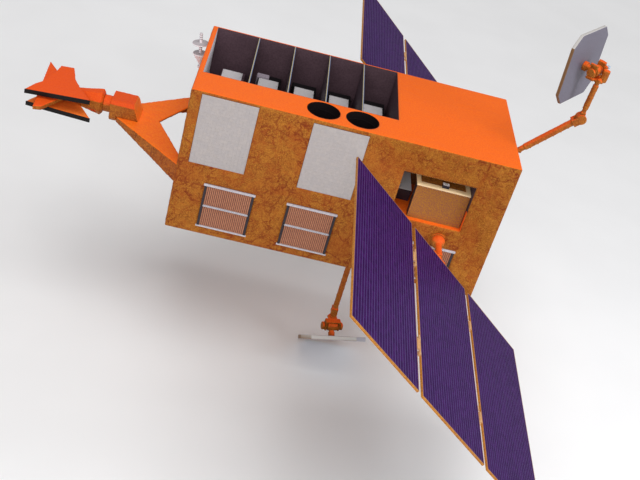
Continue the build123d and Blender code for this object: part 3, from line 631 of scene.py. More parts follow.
def blanket(name, axis, side, a_range, b_range, step, rect_holes=(), round_holes=(), seed=1, depth=0.006, size=0.17, body="bus", keep=None):
    """A sheet of blanket over one face of the body, with openings, puffed between its folds.
    axis is the face's normal axis, side its sign, and a and b are the other two axes in order."""
    ia, ib = [k for k in range(3) if k != axis]
    marks_a = [m for h in rect_holes for m in h[:2]]
    marks_b = [m for h in rect_holes for m in h[2:]]
    ga, gb = lines_between(*a_range, step, marks_a), lines_between(*b_range, step, marks_b)
    A, B = np.meshgrid(ga, gb, indexing="ij")
    P = np.zeros((A.size, 3))
    P[:, ia], P[:, ib] = A.ravel(), B.ravel()
    P[:, axis] = TOP[axis] if side > 0 else LOW[axis]
    na, nb = len(ga), len(gb)
    ca, cb = (ga[:-1] + ga[1:]) / 2, (gb[:-1] + gb[1:]) / 2
    CA, CB = np.meshgrid(ca, cb, indexing="ij")
    shown = np.ones(CA.shape, bool)
    edge = np.full(len(P), 9.0)          # distance to the nearest opening
    for a0, a1, b0, b1 in rect_holes:
        shown &= ~((CA > a0) & (CA < a1) & (CB > b0) & (CB < b1))
        da = np.maximum(np.maximum(a0 - P[:, ia], P[:, ia] - a1), 0)
        db = np.maximum(np.maximum(b0 - P[:, ib], P[:, ib] - b1), 0)
        edge = np.minimum(edge, np.hypot(da, db))
    for a0, b0, r in round_holes:
        if r > 0:
            shown &= np.hypot(CA - a0, CB - b0) > r
        else:
            shown &= np.hypot(CA - a0, CB - b0) < -r
    faces = []
    for i in range(na - 1):
        for j in range(nb - 1):
            if shown[i, j]:
                k = i * nb + j
                f = (k, k + nb, k + nb + 1, k + 1)
                faces.append(f)
    # the rim of a round opening is pulled onto its circle
    for a0, b0, r in round_holes:
        used = set(v for f in faces for v in f)
        rr = np.hypot(P[:, ia] - a0, P[:, ib] - b0)
        R = abs(r)
        count = {}
        for f in faces:
            for u, v in zip(f, f[1:] + f[:1]):
                count[frozenset((u, v))] = count.get(frozenset((u, v)), 0) + 1
        rim = {v for e, c in count.items() if c == 1 for v in e}
        for v in rim & used:
            if abs(rr[v] - R) < step * 1.1 and rr[v] > 1e-6:
                k = R / rr[v]
                P[v, ia] = a0 + (P[v, ia] - a0) * k
                P[v, ib] = b0 + (P[v, ib] - b0) * k
        rr = np.hypot(P[:, ia] - a0, P[:, ib] - b0)
        edge = np.minimum(edge, np.abs(rr - R))
    if keep:
        faces = [f for f in faces if keep(P[list(f)].mean(0))]
    near, level = creases(P, size, seed)
    near2, _ = creases(P, size * 0.42, seed + 40)
    patch = smooth(-0.25, 0.30, gnoise(P, 0.55, seed + 7))        # folds gather in some places more than in others
    h = depth * (0.75 * smooth(0.0, 0.45, near) + 0.35 * level + 0.30 * patch * smooth(0.0, 0.5, near2) + 0.8 * gnoise(P, 0.30, seed + 5))
    # fold is high along the fold lines; the blanket material paints crease shade there.
    fold = (1 - smooth(0.015, 0.085, near)) * (0.35 + 0.65 * patch) + 0.75 * (1 - smooth(0.02, 0.13, near2)) * smooth(0.25, 0.85, patch)
    fold *= smooth(-0.35, 0.15, gnoise(P, 0.10, seed + 9))
    outer = np.minimum.reduce([P[:, ia] - LOW[ia], TOP[ia] - P[:, ia], P[:, ib] - LOW[ib], TOP[ib] - P[:, ib]])
    calm = smooth(0.0, 0.06, outer) * smooth(0.0, 0.05, edge)
    height = h * calm - (OFF + 0.0012) * (1 - smooth(0.0, 0.012, edge))
    Q = rounded(P, height)
    used = sorted(set(v for f in faces for v in f))
    index = {v: k for k, v in enumerate(used)}
    if (side > 0) == (axis == 1):
        faces = [f[::-1] for f in faces]
    obj = make(name, Q[used], [tuple(index[v] for v in f) for f in faces], M["blanket"])
    attribute(obj, "fold", np.clip(fold[used] * smooth(0.0, 0.03, edge[used]), 0, 1))
    # the grid's cell sizes, which nothing reads
    da, db = np.diff(ga), np.diff(gb)
    stretched(obj)
    finish_piece(obj, body)
    return obj, (ga, gb, shown)


near_holes = [(x0, x1, z0, z1) for x0, x1, z0, z1 in RADIATORS] + [(x0, x1, z0, z1) for x0, x1, z0, z1 in LOUVRES] + [(POCKET[0], POCKET[1], POCKET[4], POCKET[5])]
far_holes = near_holes[:5]
S1 = 0.0135
blanket("blanket_near", 1, -1, (LOW[0], TOP[0]), (LOW[2], TOP[2]), S1, near_holes, [(WING_X, WING_Z, 0.090)], seed=3)
blanket("blanket_far", 1, 1, (LOW[0], TOP[0]), (LOW[2], TOP[2]), S1 * 1.35, far_holes, [(WING_X, WING_Z, 0.090)], seed=5)
blanket("blanket_top", 2, 1, (LOW[0], TOP[0]), (LOW[1], TOP[1]), S1 * 1.1, [(BAY_FRONT, SPLIT, BAY_NEAR, BAY_FAR)], [(x, y, BORE_R) for x, y in BORES], seed=7, depth=0.003, size=0.26)
blanket("blanket_bottom", 2, -1, (LOW[0], TOP[0]), (LOW[1], TOP[1]), S1 * 1.5, [(-1.616, -1.436, -0.490, -0.310)], (), seed=11)
blanket("blanket_front", 0, -1, (LOW[1], TOP[1]), (LOW[2], TOP[2]), S1 * 1.2, (), (), seed=13)
blanket("blanket_aft", 0, 1, (LOW[1], TOP[1]), (LOW[2], TOP[2]), S1 * 1.2, (), [(0.0, 0.0, 0.437)], seed=15)
blanket("blanket_aft_inner", 0, 1, (-0.45, 0.45), (-0.45, 0.45), S1 * 1.2, (), [(0.0, 0.0, -0.419)], seed=17)


# ------------------------------------------------------------------ linings of the bay and the pocket
def lining(name, corner, u, v, step, material, seed, depth=0.003, size=0.16, body="bus"):
    """A thin quilted sheet from a corner along two edges, on the side u x v points to."""
    corner, u, v = Vector(corner), Vector(u), Vector(v)
    n = np.array(u.cross(v).normalized())
    nu, nv = max(3, int(u.length / step)) + 1, max(3, int(v.length / step)) + 1
    A, B = np.meshgrid(np.linspace(0, 1, nu), np.linspace(0, 1, nv), indexing="ij")
    P = np.array(corner) + A.ravel()[:, None] * np.array(u) + B.ravel()[:, None] * np.array(v)
    near, level = creases(P, size, seed)
    edge = np.minimum.reduce([A.ravel() * u.length, (1 - A.ravel()) * u.length, B.ravel() * v.length, (1 - B.ravel()) * v.length])
    h = 0.0008 + depth * (0.8 * smooth(0.0, 0.4, near) + 0.35 * level + 0.6 * np.abs(gnoise(P, 0.2, seed + 2))) * smooth(0, 0.03, edge)
    Q = P + n * h[:, None]
    faces = [(i * nv + j, (i + 1) * nv + j, (i + 1) * nv + j + 1, i * nv + j + 1) for i in range(nu - 1) for j in range(nv - 1)]
    obj = make(name, Q, faces, material)
    # This fold attribute drives painted crease shade where a lining uses the blanket material.
    attribute(obj, "fold", 1 - smooth(0.01, 0.09, near))
    stretched(obj)
    return finish_piece(obj, body)


bay_w, bay_d, bay_h = SPLIT - BAY_FRONT, BAY_FAR - BAY_NEAR, HALF - BAY_FLOOR
lining("lining_floor", (BAY_FRONT, BAY_NEAR, BAY_FLOOR), (bay_w, 0, 0), (0, bay_d, 0), 0.03, M["lining"], 21)
lining("lining_right", (SPLIT, BAY_FAR, BAY_FLOOR), (0, -bay_d, 0), (0, 0, bay_h), 0.02, M["lining"], 22)
lining("lining_near", (BAY_FRONT, BAY_NEAR, BAY_FLOOR), (0, 0, bay_h), (bay_w, 0, 0), 0.02, M["lining"], 23)
lining("lining_far", (BAY_FRONT, BAY_FAR, BAY_FLOOR), (bay_w, 0, 0), (0, 0, bay_h), 0.02, M["lining"], 24)
lining("lining_left", (BAY_FRONT, BAY_NEAR, BAY_FLOOR), (0, bay_d, 0), (0, 0, bay_h), 0.02, M["wall_light"], 25, 0.0018)
px0, px1, py0, py1, pz0, pz1 = POCKET
lining("pocket_back", (px0, py1, pz0), (px1 - px0, 0, 0), (0, 0, pz1 - pz0), 0.02, M["pocket_wall"], 26)
lining("pocket_left", (px0, py0, pz0), (0, py1 - py0, 0), (0, 0, pz1 - pz0), 0.02, M["pocket_light"], 27)
lining("pocket_right", (px1, py0, pz0), (0, 0, pz1 - pz0), (0, py1 - py0, 0), 0.02, M["lining"], 28)
lining("pocket_floor", (px0, py0, pz0), (px1 - px0, 0, 0), (0, py1 - py0, 0), 0.02, M["blanket"], 29)
lining("pocket_ceiling", (px0, py0, pz1), (0, py1 - py0, 0), (px1 - px0, 0, 0), 0.03, M["pocket_light"], 30)

for n, key in (("equipment_module", "blanket"), ("instrument_module", "lining"), ("front_beam", "lining"), ("far_bay_wall", "far_wall"), ("left_bay_wall", "wall_light"), ("bay_dividers", "divider"), ("launch_ring", "ring")):
    NODES[n].data.materials.clear()
    NODES[n].data.materials.append(M[key])
ease(NODES["launch_ring"])

# ------------------------------------------------------------------ the detector bay
CELLS = tuple(zip((CELL_FIRST,) + DIVIDERS, DIVIDERS + (SPLIT,)))
caps, angles = bmesh.new(), bmesh.new()
for x in DIVIDERS:
    block(caps, x - 0.0075, x - 0.0002, BAY_NEAR + 0.004, BAY_FAR - 0.004, 0.889, 0.899, 0.0015)
    block(angles, x + 0.0002, x + 0.0075, BAY_NEAR + 0.004, BAY_FAR - 0.004, 0.884, 0.898, 0.0015)
    for k in range(7):
        y = BAY_NEAR + 0.09 + k * 0.185
        disc(angles, (x - 0.0095, y, 0.8915), (1, 0, 0), 0.0035, 0.019, 10, 0.0006)
block(angles, BAY_FRONT + 0.001, BAY_FRONT + 0.016, BAY_NEAR + 0.004, BAY_FAR - 0.004, 0.262, 0.284, 0.002)
finish_piece(from_bm("divider_caps", caps, speckled("divider_cap", lin(196, 182, 138), lin(168, 150, 108), 50.0, 0.5, 0.0, 0.4)), "bus")
finish_piece(from_bm("divider_angles", angles, speckled("divider_angle", lin(116, 130, 168), lin(96, 108, 146), 50.0, 0.5, 0.0, 0.4)), "bus")

bm = bmesh.new()
for x0, x1 in CELLS:
    a, b, c, d = x0 + 0.022, x1 - 0.022, BAY_NEAR + 0.025, BAY_FAR - 0.025
    block(bm, a, b, c, d, 0.2005, 0.262, 0.003)
    for r in ((a, b, c, c + 0.018), (a, b, d - 0.018, d), (a, a + 0.018, c, d), (b - 0.018, b, c, d)):
        block(bm, *r, 0.258, 0.278, 0.002)
    n = max(3, int((b - a) / 0.05))
    for k in range(1, n):
        x = a + (b - a) * k / n
        block(bm, x - 0.0015, x + 0.0015, c + 0.01, d - 0.01, 0.26, 0.273)
    for k in range(1, 24):
        y = c + (d - c) * k / 24
        block(bm, a + 0.01, b - 0.01, y - 0.0015, y + 0.0015, 0.26, 0.2725)
finish_piece(from_bm("detector_arrays", bm, M["module"]), "bus", ("detector_modules",))

# The black bases under the white boxes and the black blocks behind them are painted shadow, the shadow each white box
# casts; the first cell's pieces take the lining colour, as that box casts none.
black, screws, plain = bmesh.new(), bmesh.new(), bmesh.new()
for k, (x0, x1) in enumerate(CELLS):
    bm = black if k else plain
    a, b = x0 + 0.088, x0 + 0.377
    block(bm, a + 0.004, b - 0.004, 0.408, 0.712, 0.278, 0.452, 0.004)
    block(bm, a, b, 0.404, 0.716, 0.448, 0.462, 0.003)
    block(bm, a, b, 0.404, 0.716, 0.278, 0.290, 0.003)
    for j in range(9):
        x = a + 0.022 + j * 0.0305
        block(bm, x - 0.003, x + 0.003, 0.4045, 0.412, 0.292, 0.446, 0.001)
    for j in range(2):
        block(bm, x0 + 0.352, x0 + 0.372, 0.46 + 0.11 * j, 0.53 + 0.11 * j, 0.46, 0.472, 0.003)
    # Behind each white box but the first, a black block stands for the shadow it casts back and to the right.
    if k:
        a = x0 + (0.226 if k == 1 else 0.068)
        block(bm, a, x0 + 0.372, 0.668, 0.795, 0.278, 0.474, 0.005)
        block(bm, a + 0.006, x0 + 0.366, 0.674, 0.789, 0.472, 0.480, 0.003)
        for j in range(5 if k > 1 else 3):
            block(bm, a + 0.020 + 0.052 * j, a + 0.050 + 0.052 * j, 0.792, 0.7985, 0.30, 0.45, 0.002)
finish_piece(from_bm("detector_shadow_boxes", black, M["painted_shadow_band"]), "bus", ("detector_bases",))
finish_piece(from_bm("detector_base_first", plain, M["lining"]), "bus")

bm = bmesh.new()
for k, (x0, x1) in enumerate(CELLS):
    a, b = x0 + 0.100, x0 + 0.345
    block(bm, a + 0.003, b - 0.003, 0.423, 0.661, 0.462, 0.481, 0.002)
    block(bm, a, b, 0.420, 0.664, 0.477, 0.487, 0.003)
    for dx in (0.015, 0.1225, 0.230):
        for dy in (0.434, 0.542, 0.650):
            if dx == 0.1225 and dy == 0.542:
                continue
            disc(screws, (a + dx, dy, 0.4865), (0, 0, 1), 0.005, 0.0018, 12, 0.0006)
unit = bmesh.new()
x0 = CELLS[1][0]
block(unit, x0 + 0.067, x0 + 0.221, 0.721, 0.825, 0.279, 0.470, 0.005)
block(unit, x0 + 0.075, x0 + 0.213, 0.729, 0.817, 0.468, 0.478, 0.003)
finish_piece(from_bm("detector_side_unit", unit, speckled("side_unit_grey", lin(176, 164, 176), lin(146, 134, 148), 50.0, 0.5, 0.0, 0.5)), "bus")
finish_piece(from_bm("detector_boxes", bm, M["white_box"]), "bus", ("detector_electronics",))
finish_piece(from_bm("detector_box_screws", screws, M["steel"]), "bus")


def lathe(bm, centre, axis, profile, sides=48):
    """Turns a line of (r, s) pairs about an axis through centre, added to bm."""
    axis = Vector(axis).normalized()
    q = axis.to_track_quat("Z", "Y").to_matrix()
    rings = []
    for r, s in profile:
        ring = []
        for k in range(sides):
            a = 2 * math.pi * k / sides
            ring.append(bm.verts.new(Vector(centre) + q @ Vector((r * math.cos(a), r * math.sin(a), s))))
        rings.append(ring)
    for ra, rb in zip(rings, rings[1:]):
        for k in range(sides):
            bm.faces.new((ra[k], ra[(k + 1) % sides], rb[(k + 1) % sides], rb[k]))
    return rings


bm = bmesh.new()
for x, y in BORES:
    prof = [(BORE_R + 0.001, 0.905), (BORE_R - 0.0015, 0.9055), (BORE_R - 0.0025, 0.900)]
    z = 0.90
    while z > 0.36:
        prof += [(BORE_R - 0.0025, z), (BORE_R - 0.0025, z - 0.085), (BORE_R - 0.011, z - 0.0865), (BORE_R - 0.0025, z - 0.09)]
        z -= 0.09
    prof += [(BORE_R - 0.0025, 0.324), (0.001, 0.3215)]
    lathe(bm, (x, y, 0), (0, 0, 1), prof, 56)
obj = from_bm("bore_liners", bm, M["bore"])
ease(obj, 40)
finish_piece(obj, "bus")

bm = bmesh.new()
for x, y in BORES:
    for dx, dy in ((-1, -1), (1, -1), (1, 1), (-1, 1)):
        c = (x + 0.066 * dx, y + 0.066 * dy, 0)
        lathe(bm, c, (0, 0, 1), [(0.001, 0.478), (0.045, 0.478), (0.046, 0.486), (0.049, 0.490), (0.0565, 0.490), (0.058, 0.488), (0.058, 0.462), (0.0545, 0.459), (0.0545, 0.335), (0.058, 0.332), (0.058, 0.3205)], 32)
        for k in range(-3, 4):
            w = math.sqrt(max(0.0, 0.044 ** 2 - (0.012 * k) ** 2))
            block(bm, c[0] + 0.012 * k - 0.001, c[0] + 0.012 * k + 0.001, c[1] - w, c[1] + w, 0.477, 0.485)
            block(bm, c[0] - w, c[0] + w, c[1] + 0.012 * k - 0.001, c[1] + 0.012 * k + 0.001, 0.477, 0.4845)
obj = from_bm("detector_cans", bm, M["can"])
ease(obj, 40)
finish_piece(obj, "bus", ("round_detectors",))


# ------------------------------------------------------------------ tiles, on radiators and panels
def tiles(name, fields, material, body, seed=1, inset=0.0004):
    """Thin rectangular tiles. Each field is (corner, u, v, count_u, count_v, gap_u, gap_v, thickness), u and v being whole edges."""
    rng = np.random.default_rng(seed)
    verts, faces, tint = [], [], []
    for corner, u, v, cu, cv, gu, gv, th in fields:
        corner, u, v = np.array(corner, float), np.array(u, float), np.array(v, float)
        lu, lv = np.linalg.norm(u), np.linalg.norm(v)
        uu, vv = u / lu, v / lv
        n = np.cross(uu, vv)
        for i in range(cu):
            for j in range(cv):
                a0, a1 = lu * i / cu + gu / 2, lu * (i + 1) / cu - gu / 2
                b0, b1 = lv * j / cv + gv / 2, lv * (j + 1) / cv - gv / 2
                base = corner + 0 * n
                k = len(verts)
                for a, b in ((a0, b0), (a1, b0), (a1, b1), (a0, b1)):
                    verts.append(base + uu * a + vv * b)
                for a, b in ((a0 + inset, b0 + inset), (a1 - inset, b0 + inset), (a1 - inset, b1 - inset), (a0 + inset, b1 - inset)):
                    verts.append(base + uu * a + vv * b + n * th)
                faces += [(k + 4, k + 5, k + 6, k + 7), (k, k + 1, k + 5, k + 4), (k + 1, k + 2, k + 6, k + 5), (k + 2, k + 3, k + 7, k + 6), (k + 3, k, k + 4, k + 7)]
                tint += [rng.random()] * 8
    obj = make(name, verts, faces, material, False)
    attribute(obj, "tint", tint)
    return finish_piece(obj, body)


softened("radiator_plates", ["radiators"], 0.002, M["radiator"])
fields = []
for x0, x1, z0, z1 in RADIATORS:
    w, h = x1 - x0 - 0.02, z1 - z0 - 0.02
    cu, cv = round(w / 0.0405), round(h / 0.0405)
    fields.append(((x0 + 0.01, -HALF - 0.0079, z0 + 0.01), (w, 0, 0), (0, 0, h), cu, cv, 0.0012, 0.0012, 0.0008))
    fields.append(((x1 - 0.01, HALF + 0.0079, z0 + 0.01), (-w, 0, 0), (0, 0, h), cu, cv, 0.0012, 0.0012, 0.0008))
m, t, s = new_material("mirror_tile")
a = t.nodes.new("ShaderNodeAttribute")
a.attribute_name = "tint"
tone = noise_node(t, 38.0, 3.0, 0.7)
c = mix_colour(t, ramp(t, tone, 0.38, 0.62, 0.0, 0.5), lin(184, 175, 172), lin(170, 161, 158))
t.links.new(mix_colour(t, math_node(t, "MULTIPLY", a.outputs["Fac"], 0.4), c, lin(168, 162, 166)), s.inputs["Base Color"])
set_plain(s, 0.30, 0.0, 0.25, 0.1, 0.5)
bump(t, s, noise_node(t, 140.0, 2.0, 0.5), 0.05, 0.0004)
tiles("radiator_tiles", fields, m, "bus", 4)

# ------------------------------------------------------------------ louvres
bars, sides, blades, backs, hubs = bmesh.new(), bmesh.new(), bmesh.new(), bmesh.new(), bmesh.new()
for sg in (-1, 1):
    for x0, x1, z0, z1 in LOUVRES:
        mid = (z0 + z1) / 2
        y0, y1 = sorted((sg * (HALF + 0.0005), sg * (HALF + 0.022)))
        for a, b in ((z0, z0 + 0.018), (mid - 0.010, mid + 0.010), (z1 - 0.024, z1)):
            block(bars, x0 - (0.012 if a != mid - 0.010 else -0.012), x1 + (0.012 if a != mid - 0.010 else -0.012), y0, y1, a, b, 0.002)
        for a, b in ((x0, x0 + 0.026), (x1 - 0.026, x1)):
            block(sides, a, b, y0, y1 - 0.0005 * (sg > 0) if sg > 0 else y1, z0 + 0.0175, z1 - 0.0235, 0.002)
        for a, b in ((z0 + 0.018, mid - 0.010), (mid + 0.010, z1 - 0.024)):
            ya, yb = sorted((sg * (HALF + 0.0006), sg * (HALF + 0.003)))
            block(backs, x0 + 0.026, x1 - 0.026, ya, yb, a, b)
            n = round((x1 - x0 - 0.052) / 0.0222)
            for k in range(n):
                x = x0 + 0.026 + (x1 - x0 - 0.052) * (k + 0.5) / n
                mt = Matrix.Translation((x, sg * (HALF + 0.0105), (a + b) / 2)) @ Matrix.Rotation(math.radians(17 * sg), 4, "Z")
                block(blades, -0.0080, 0.0080, -0.0012, 0.0012, -(b - a) / 2 + 0.0015, (b - a) / 2 - 0.0015, 0.0009, mt)
        for k in range(8):
            x = x0 + 0.055 + (x1 - x0 - 0.11) * k / 7
            for z in (z0 + 0.009, z1 - 0.012):
                disc(hubs, (x, sg * (HALF + 0.0215), z), (0, sg, 0), 0.0042, 0.0016, 10, 0.0005)
        for k in range(n):
            x = x0 + 0.026 + (x1 - x0 - 0.052) * (k + 0.5) / n
            disc(hubs, (x, sg * (HALF + 0.0215), mid), (0, sg, 0), 0.0062, 0.0022, 12, 0.0008)
finish_piece(from_bm("louvre_bars", bars, M["silver"]), "bus", ("louvre_frames",))
finish_piece(from_bm("louvre_side_bars", sides, M["louvre_side"]), "bus", ("louvre_frames",))
finish_piece(from_bm("louvre_slats", blades, M["blade"]), "bus", ("louvre_blades",))
finish_piece(from_bm("louvre_backs", backs, M["louvre_back"]), "bus")
finish_piece(from_bm("louvre_pivots", hubs, M["steel"]), "bus")

# ------------------------------------------------------------------ the units in the pocket
bm, screws = bmesh.new(), bmesh.new()
block(bm, -1.130, -0.497, -0.836, -0.717, -0.058, 0.362, 0.006)
block(bm, -1.130, -0.497, -0.840, -0.715, 0.358, 0.374, 0.004)
block(bm, -1.130, -0.497, -0.840, -0.715, -0.058, -0.044, 0.004)
block(bm, -1.092, -0.497, -0.720, -0.512, -0.058, 0.374, 0.004)
for k in range(12):
    disc(screws, (-1.118 + 0.0552 * k, -0.8395, 0.366), (0, -1, 0), 0.0035, 0.0018, 10, 0.0005)
finish_piece(from_bm("pocket_unit", bm, M["pocket_box"]), "bus", ("electronics_box",))
finish_piece(from_bm("pocket_unit_screws", screws, M["steel"]), "bus")
softened("pocket_frame_bar", ["instrument_frame"], 0.004, M["pocket_frame"])
bm = bmesh.new()
block(bm, -0.842, -0.764, -0.807, -0.745, 0.392, 0.436, 0.005)
block(bm, -0.839, -0.767, -0.810, -0.802, 0.396, 0.432, 0.002)
lathe(bm, (-0.803, -0.778, 0.436), (0, 0, 1), [(0.001, 0.0015), (0.012, 0.0015), (0.013, 0.004), (0.016, 0.004), (0.017, 0.0), (0.017, -0.002)], 24)
finish_piece(from_bm("sun_sensor_unit", bm, M["sensor"]), "bus", ("sun_sensor",))
bm = bmesh.new()
block(bm, -1.288, -1.108, -0.498, -0.072, -0.058, 0.084, 0.005)
block(bm, -1.290, -1.106, -0.502, -0.070, 0.080, 0.092, 0.003)
finish_piece(from_bm("tracker_box", bm, M["tracker"]), "bus", ("tracker_unit",))

bm = bmesh.new()
block(bm, -0.4945, -0.4882, -0.900, -0.846, -0.056, 0.200, 0.002)
block(bm, -0.4945, -0.4885, -0.846, -0.842, -0.056, 0.190, 0.001)
finish_piece(from_bm("pocket_edge_fold", bm, M["edge_fold"]), "bus")

# ------------------------------------------------------------------ launch ring hardware
bm = bmesh.new()
for k in range(48):
    a = 2 * math.pi * (k + 0.5) / 48
    c, s_ = math.cos(a), math.sin(a)
    disc(bm, (-0.042, 0.4355 * c, 0.4355 * s_), (0, c, s_), 0.0050, 0.0035, 10, 0.0008)
for k in range(24):
    mt = Matrix.Rotation(2 * math.pi * (k + 0.5) / 24, 4, "X")
    block(bm, -0.0675, -0.0165, 0.4355, 0.466, -0.002, 0.002, 0.0006, mt)
    disc(bm, mt @ Vector((-0.0682, 0.455, 0.02)), (1, 0, 0), 0.0050, 0.004, 10, 0.0008)
finish_piece(from_bm("ring_hardware", bm, M["steel"]), "bus")

# ------------------------------------------------------------------ sky monitor
wrapped("monitor_bracket_wrap", ["monitor_bracket"], 0.009, M["bracket"], 0.003, 0.12, 31)
wrapped("monitor_drive_wrap", ["monitor_drive"], 0.006, M["monitor_drive"], 0.0022, 0.08, 32)
wrapped("monitor_shaft_wrap", ["monitor_shaft"], 0.005, M["monitor"], 0.0015, 0.05, 33)
wrapped("monitor_hub_wrap", ["monitor_hub"], 0.006, M["monitor"], 0.0025, 0.08, 34)


def lower_fillet(bm):
    """The blanket that closes the space between the lower camera and the spine's underside."""
    block(bm, -5.372, -5.150, -0.078, -0.012, -0.106, -0.058, 0.006)


wrapped("camera_wrap_upper", ["upper_camera"], 0.006, M["monitor"], 0.0018, 0.11, 35)
wrapped("camera_wrap_lower", ["lower_camera"], 0.006, M["monitor_low"], 0.0018, 0.11, 36, extra=lower_fillet)
wrapped("camera_wrap_side", ["side_camera"], 0.006, M["monitor"], 0.0018, 0.11, 37)
wrapped("camera_wrap_spine", ["camera_spine"], 0.006, M["monitor"], 0.002, 0.06, 38)
softened("camera_openings", ["camera_masks"], 0.001, M["mask"], 1)

# ------------------------------------------------------------------ low-gain antenna
softened("low_gain_post", ["low_gain_mast"], 0.002, M["antenna"])
softened("low_gain_horns", ["low_gain_antenna"], 0.0015, M["antenna"], 2, 35)
bm = bmesh.new()
foot, up = Vector((-3.893, 0.750, 0.424)), Vector((-0.13, 0, 0.9915)).normalized()
for s0, r0 in ((0.012, 0.0165), (0.030, 0.0165), (0.170, 0.0205), (0.200, 0.0205), (0.230, 0.0205), (0.335, 0.0205), (0.362, 0.0205), (0.390, 0.0205)):
    lathe(bm, foot + up * s0, up, [(0.012, 0), (r0, 0.001), (r0, 0.006), (0.012, 0.007)], 24)
for k in range(10):
    a = 2 * math.pi * k / 10
    q = up.to_track_quat("Z", "Y").to_matrix()
    for s0, r0 in ((0.157, 0.072), (0.288, 0.086)):
        disc(bm, foot + up * s0 + q @ Vector((r0 * math.cos(a), r0 * math.sin(a), 0)), up, 0.0035, 0.003, 8, 0.0008)
finish_piece(from_bm("low_gain_fittings", bm, M["steel"]), "bus")

# ------------------------------------------------------------------ wings
NAMES = ("left", "centre", "right")
for side, sg in (("near", -1), ("far", 1)):
    origin = Vector((WING_X, 0, WING_Z))

    def place(s0, y, n0):
        return origin + DD * s0 + Vector((0, sg * y, 0)) + NN * n0

    for name, centre in zip(NAMES, (-1.088, 0.0, 1.088)):
        cad = f"{side}_{name}_panel"
        body = BODY_OF[cad]
        softened(f"{side}_{name}_board", [cad], 0.0025, M["panel"], 2)
        a, b = centre - PANEL_W / 2 + 0.008, centre + PANEL_W / 2 - 0.008
        y0, y1 = WING_IN + 0.010, WING_OUT - 0.010
        # the cells lie in strips along the wing
        fields = []
        n_strip, top = 25, PANEL_T / 2 + 0.0001
        pitch = (b - a) / n_strip
        for k in range(n_strip):
            runs = [(y0, y1)]
            for r0, r1 in runs:
                u0, u1 = a + pitch * k, a + pitch * (k + 1)
                count = max(1, round((r1 - r0) / 0.0695))
                if sg > 0:
                    fields.append((place(u0, r0, top), DD * (u1 - u0), Vector((0, r1 - r0, 0)), 1, count, 0.0068, 0.002, 0.0009))
                else:
                    fields.append((place(u1, r0, top), DD * (u0 - u1), Vector((0, r0 - r1, 0)), 1, count, 0.0068, 0.002, 0.0009))
        tiles(f"{side}_{name}_cells", fields, M["cell"], body, 40 + 3 * (sg > 0) + NAMES.index(name))
        # a thin frame round the cell side, and harness strips and blocks on the back
        frame_bm, back_bm = bmesh.new(), bmesh.new()
        base = Matrix((DD, Vector((0, 1, 0)), NN)).transposed().to_4x4()
        base.translation = origin
        lo, hi = centre - PANEL_W / 2, centre + PANEL_W / 2
        ya, yb = sorted((sg * (WING_IN + 0.0005), sg * (WING_OUT - 0.0005)))
        for r in ((lo + 0.0005, lo + 0.0035, ya, yb), (hi - 0.0035, hi - 0.0005, ya, yb), (lo + 0.0005, hi - 0.0005, ya, ya + 0.005), (lo + 0.0005, hi - 0.0005, yb - 0.005, yb)):
            block(frame_bm, r[0], r[1], r[2], r[3], PANEL_T / 2 - 0.001, PANEL_T / 2 + 0.0016, 0.0006, base)
        for k in range(9):
            y = sg * (WING_IN + 0.22 + 0.295 * k)
            block(back_bm, lo + 0.06, hi - 0.06, y - 0.005, y + 0.005, -PANEL_T / 2 - 0.0022, -PANEL_T / 2 + 0.001, 0.0008, base)
            for s0 in (lo + 0.06, centre, hi - 0.06):
                block(back_bm, s0 - 0.012, s0 + 0.012, y - 0.016, y + 0.016, -PANEL_T / 2 - 0.0045, -PANEL_T / 2 + 0.001, 0.001, base)
        for s0 in (lo + 0.045, hi - 0.045):
            block(back_bm, s0 - 0.010, s0 + 0.010, ya + 0.05, yb - 0.05, -PANEL_T / 2 - 0.003, -PANEL_T / 2 + 0.001, 0.0008, base)
        finish_piece(from_bm(f"{side}_{name}_frame", frame_bm, M["panel_frame"]), body)
        finish_piece(from_bm(f"{side}_{name}_harness", back_bm, M["drive"]), body)
        softened(f"{side}_{name}_hinge_set", [f"{side}_{name}_hinges"], 0.0012, M["hinge"], 1)
    softened(f"{side}_drive_cover", [f"{side}_array_drive"], 0.003, M["wrap"])
    wrapped(f"{side}_boom_wrap", [f"{side}_array_boom"], 0.005, M["wrap"], 0.0018, 0.05, 50 + (sg > 0))

# ------------------------------------------------------------------ the two dish antennas
wrapped("upper_root_wrap", ["upper_antenna_root"], 0.004, M["gimbal"], 0.0012, 0.04, 61)
wrapped("upper_lower_boom_wrap", ["upper_antenna_lower_boom"], 0.005, M["wrap"], 0.0015, 0.06, 62)
wrapped("upper_upper_boom_wrap", ["upper_antenna_upper_boom"], 0.005, M["wrap"], 0.0015, 0.06, 63)
wrapped("lower_root_wrap", ["lower_antenna_root"], 0.005, M["gimbal"], 0.0014, 0.05, 64)
wrapped("lower_boom_wrap", ["lower_antenna_boom"], 0.005, M["wrap"], 0.0015, 0.06, 65)
wrapped("lower_knuckle_wrap", ["lower_antenna_knuckle"], 0.004, M["gimbal"], 0.0015, 0.04, 66)
heading = Vector((-0.796, 0.604, 0.0)).normalized()
HEAD = Matrix((heading, Vector((0, 0, 1)).cross(heading), Vector((0, 0, 1)))).transposed().to_4x4()
HEAD.translation = Vector((0.500, -0.350, 1.905))


def head_padding(bm):
    """The motor's jacket, the padding beside its foot and its top, and the padding outside the two cheeks."""
    disc(bm, HEAD @ Vector((-0.040, -0.026, 0.012)), (0, 0, 1), 0.041, 0.146, 28, 0.012)
    block(bm, -0.040, 0.002, -0.060, 0.062, 0.016, 0.050, 0.012, HEAD)
    block(bm, -0.030, 0.012, -0.066, -0.012, 0.136, 0.190, 0.016, HEAD)
    for side in (-1, 1):
        block(bm, 0.022, 0.118, min(side * 0.092, side * 0.124), max(side * 0.092, side * 0.124), 0.166, 0.206, 0.012, HEAD)
        block(bm, 0.018, 0.122, min(side * 0.080, side * 0.112), max(side * 0.080, side * 0.112), 0.012, 0.044, 0.012, HEAD)


